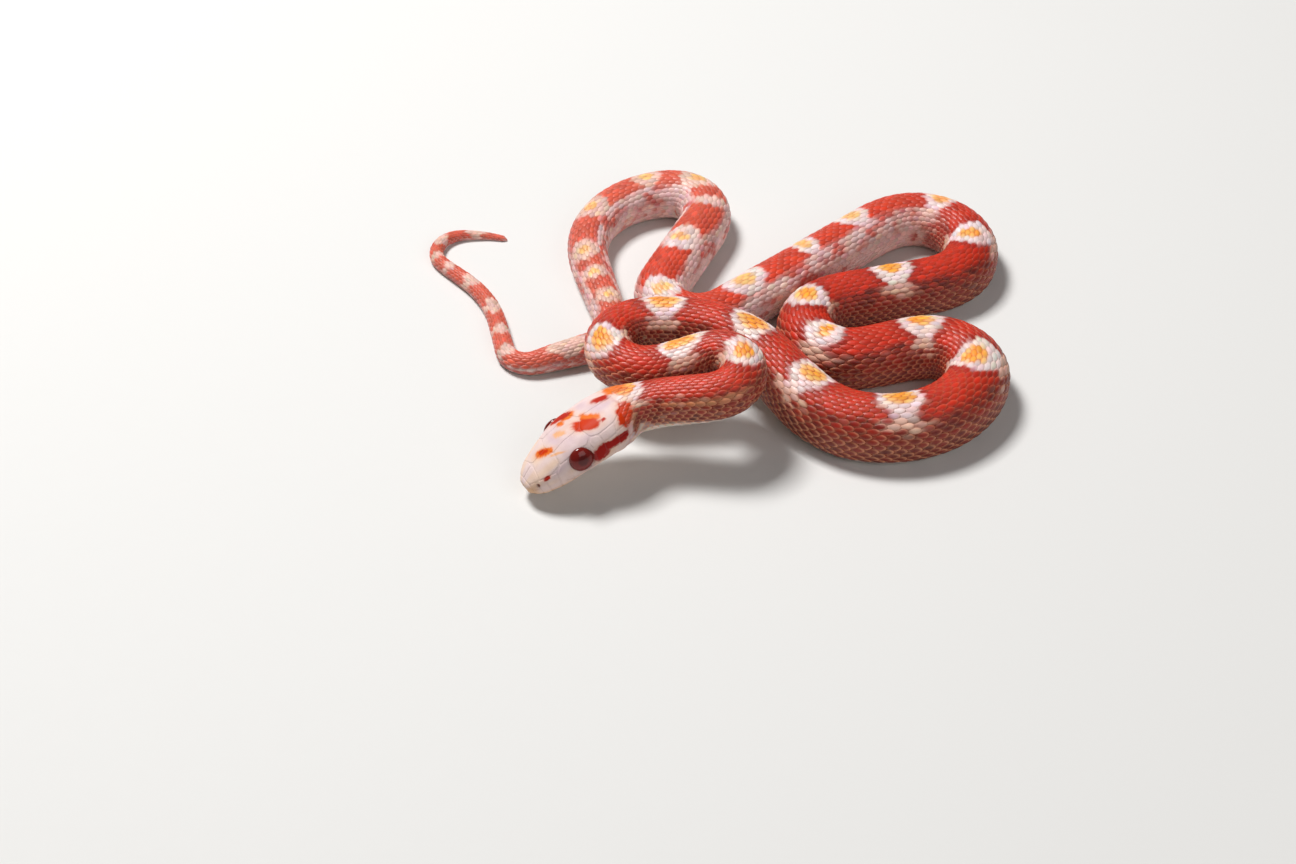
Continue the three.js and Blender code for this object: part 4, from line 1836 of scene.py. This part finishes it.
    def plate(self, corners: Array) -> tuple[Array, list[Array], Array]:
        """One shield: rings that shrink from its edge to its middle, low at the edge, and an underside.

        Args:
            corners: Rows of place in millimetres and angle in degrees.

        Returns:
            The points, the faces and the colours.
        """
        edge = self.outline(corners)
        centre = edge.mean(0)
        middle_s, middle_phi = centre[:1], np.radians(centre[1:])
        radius = np.linalg.norm(self.flesh.slopes(middle_s, middle_phi)[1], axis=-1)[0]
        arm = (edge - centre) * [1, np.radians(1) * radius]
        arm = arm * (1 - self.seam / np.linalg.norm(arm, axis=1, keepdims=True))
        arm = arm / [1, np.radians(1) * radius]
        ring = np.array(self.rings)[:, None, None]
        spread = centre + ring * arm
        place = np.concatenate([[centre], spread.reshape(-1, 2)])
        count = len(edge)
        height = np.concatenate([[1.0], np.repeat(self.heights, count)])
        s, phi = np.maximum(place[:, 0], self.first_place), np.radians(place[:, 1])
        pit = self.skin.pit(s, phi)
        points = self.flesh.raised(s, phi, self.rise * height - self.nostril_depth * pit)
        # Painted shade in the nostril pits.
        tone = blend(self.markings.colour(s, phi), Pigment.RECESS_SHADE, step_up(pit, *self.painted_nostril_shade))
        return points, cushion_faces(count, len(self.rings)), tone

    def rostral(self) -> tuple[Array, list[Array], Array]:
        """The plate on the tip of the snout: a cap between the shields behind it and the mouth below.

        Its edge lies at a level reach, a little less down the side, or where the line of the mouth comes
        first. The rings reach out to it as the square of their share.

        Returns:
            The points, the faces and the colours.
        """
        count = self.rostral_sides
        phi = np.arange(count) * 2 * np.pi / count
        side = np.abs(wrap(phi))
        places = np.linspace(*self.rostral_mouth, 60)
        mouth = self.flesh.mouth_angle(places)
        under = np.interp(side, mouth[::-1], places[::-1], right=places[0])
        narrows_at, narrowing = self.rostral_narrows
        reach = np.minimum(self.rostral_reach - narrowing * np.maximum(side - narrows_at, 0), under)
        tip, nearest = self.rostral_first
        ring = np.array(self.rings)[:, None]
        s = np.append(tip, np.maximum(ring**2 * reach, nearest))
        angle = np.append(0.0, phi + 0 * ring)
        height = np.append(1.0, np.repeat(self.heights, count))
        points = self.flesh.raised(s, angle, self.rise * height)
        return points, cushion_faces(count, len(self.rings)), self.markings.colour(s, angle)

    def build(self, material: bpy.types.Material) -> bpy.types.Object:
        """Makes every shield, those of one side also mirrored, as one piece.

        Args:
            material: The shields' finish.

        Returns:
            The piece.
        """
        made = [self.rostral()]
        for shield in (*self.plates, *self.lip_shields()):
            corners = np.array(shield.corners, float)
            made.append(self.plate(corners))
            if not shield.middle:
                made.append(self.plate(corners * [1, -1]))
        points, colours, faces = [], [], {}
        first = 0
        for some_points, some_faces, some_colours in made:
            for face in some_faces:
                faces.setdefault(face.shape[1], []).append(face + first)
            points.append(some_points)
            colours.append(some_colours)
            first += len(some_points)
        joined = [np.concatenate(group) for group in faces.values()]
        shape = Shape(np.concatenate(points), joined, np.concatenate(colours))
        return shape.piece("head_shields", material, "head_skin")


@dataclass
class Eyes:
    """Both eyes: shallow domes of dark red with a round, darker pupil, set in their sockets."""

    flesh: Flesh
    radii: tuple[float, float, float] = (1.38, 1.36, 0.68)
    tilt: float = math.radians(12)
    rings: int = 28
    around: int = 56
    ring_tone: tuple[float, float, float] = (0.23, 0.009, 0.005)
    pupil_tone: tuple[float, float, float] = (0.12, 0.004, 0.003)
    rim_tone: tuple[float, float, float] = (0.18, 0.012, 0.006)
    pupil_ends: Span = (0.36, 0.52)
    rim_begins: Span = (0.78, 1.0)

    def build(self, name: str, material: bpy.types.Material) -> bpy.types.Object:
        """Makes one eye as a squashed ball round the middle of its solid.

        Its rings lie about its outward axis: the cosine of their lean runs outward, and the sine is spread
        forward and upward by the cosine and sine of the turn, each times the ball's size that way.

        Args:
            name: The node that the eye stands for.
            material: The eye's finish.

        Returns:
            The piece.
        """
        low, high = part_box(name)
        centre = np.array((low + high) / 2) / MM
        stance = self.flesh.course.stance(np.array(self.flesh.eye_at))
        side = math.copysign(1.0, float(np.dot(centre - stance.origin, stance.left)))
        out = stance.left * side * math.cos(self.tilt) + stance.up * math.sin(self.tilt)
        upward = unit(stance.up - out * np.dot(stance.up, out))
        forward = np.cross(upward, out)
        lean = np.linspace(0, np.pi, self.rings)[1:-1]
        turn = np.arange(self.around) * 2 * np.pi / self.around
        lean_grid, turn_grid = np.meshgrid(lean, turn, indexing="ij")
        along_axis, up_axis, out_axis = self.radii
        offset = (
            np.cos(lean_grid)[..., None] * out * out_axis
            + (np.sin(lean_grid) * np.cos(turn_grid))[..., None] * forward * along_axis
            + (np.sin(lean_grid) * np.sin(turn_grid))[..., None] * upward * up_axis
        )
        poles = np.stack([out * out_axis, -out * out_axis])
        points = centre + np.concatenate([offset.reshape(-1, 3), poles])
        far = np.append(np.sin(lean_grid), [0, 1])
        tone = blend(np.array(self.pupil_tone), np.array(self.ring_tone), step_up(far, *self.pupil_ends))
        tone = blend(tone, np.array(self.rim_tone), step_up(far, *self.rim_begins))
        faces = [np.roll(face[:, ::-1], 1, axis=1) for face in tube_faces(self.around, len(lean))]
        made = Shape(points, faces, tone).piece(name + "_ball", material, "eye")
        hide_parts(name)
        return made


@dataclass(frozen=True)
class Lamp:
    """One soft square lamp: its name, its place and the side of its panel in metres, its power in watts."""

    name: str
    place: tuple[float, float, float]
    width: float
    power: float


@dataclass
class Studio:
    """A plain pale floor, soft lights and the camera."""

    camera_place: tuple[float, float, float] = (-0.0076, -0.2568, 0.2173)
    camera_drop: float = math.radians(42)
    view_width: float = math.radians(25)
    sensor: float = 36.0
    nearest: float = 0.01
    floor_half: float = 2.0
    sky: float = 0.15
    lamps: tuple[Lamp, ...] = (
        Lamp("key", (-0.2, 0.18, 0.5), 0.16, 3.7),
        Lamp("fill", (0.3, -0.4, 0.4), 0.4, 0.8),
    )

    def camera(self) -> None:
        """Sets the camera where the photograph was taken from, looking along +Y and down."""
        data = bpy.data.cameras.new("camera")
        data.sensor_width = self.sensor
        data.lens = self.sensor / (2 * math.tan(self.view_width / 2))
        data.clip_start = self.nearest
        made = placed("camera", data)
        made.location = self.camera_place
        made.rotation_euler = (math.pi / 2 - self.camera_drop, 0, 0)
        bpy.context.scene.camera = made

    def floor(self) -> None:
        """Lays the floor at the level that the belly rests on."""
        half = self.floor_half
        mesh = bpy.data.meshes.new("floor")
        corners = [(-half, -half, 0), (half, -half, 0), (half, half, 0), (-half, half, 0)]
        mesh.from_pydata(corners, [], [(0, 1, 2, 3)])
        mesh.materials.append(FloorFinish().material())
        placed("floor", mesh)

    def hang(self, lamp: Lamp) -> None:
        """Hangs a lamp that faces the snake.

        Args:
            lamp: The lamp.
        """
        data = bpy.data.lights.new(lamp.name, "AREA")
        data.size = lamp.width
        data.energy = lamp.power
        made = placed(lamp.name, data)
        made.location = lamp.place
        made.rotation_euler = Vector(lamp.place).to_track_quat("Z", "Y").to_euler()

    def build(self) -> None:
        """Builds the studio round the snake."""
        self.camera()
        self.floor()
        for lamp in self.lamps:
            self.hang(lamp)
        world = bpy.data.worlds.new("studio")
        world.use_nodes = True
        sky = world.node_tree.nodes["Background"]
        sky.inputs["Color"].default_value = (1, 1, 1, 1)
        sky.inputs["Strength"].default_value = self.sky
        bpy.context.scene.world = world
        bpy.context.scene.view_settings.view_transform = "Standard"


def main() -> None:
    """Builds the studio, then the snake from the skin outwards."""
    logging.basicConfig(level=logging.INFO, format="%(message)s")
    Studio().build()
    flesh = Flesh(Course())
    markings = Markings()
    skin_finish = SkinFinish(
        "skin_finish", roughness=0.6, coat=0.0, mottle=0.25, grain_scale=900.0, bump=0.35
    )
    scale_finish = SkinFinish(
        "scale_finish", roughness=0.45, coat=0.13, mottle=0.3, grain_scale=1500.0, bump=0.25, specular=0.3
    )
    shield_finish = SkinFinish(
        "shield_finish", roughness=0.52, coat=0.02, mottle=0.34, grain_scale=1100.0, bump=0.24, specular=0.08
    )
    skin = Skin(flesh, markings)
    skin.build(skin_finish.material())
    scale_material = scale_finish.material()
    coat = Coat(flesh, markings)
    coat.build(scale_material)
    BellyPlates(flesh, markings, coat).build(scale_material)
    HeadShields(flesh, markings, skin).build(shield_finish.material())
    eyes = Eyes(flesh)
    eye_material = EyeFinish().material()
    for node in ("eye_left", "eye_right"):
        eyes.build(node, eye_material)


if __name__ == "__main__":
    main()
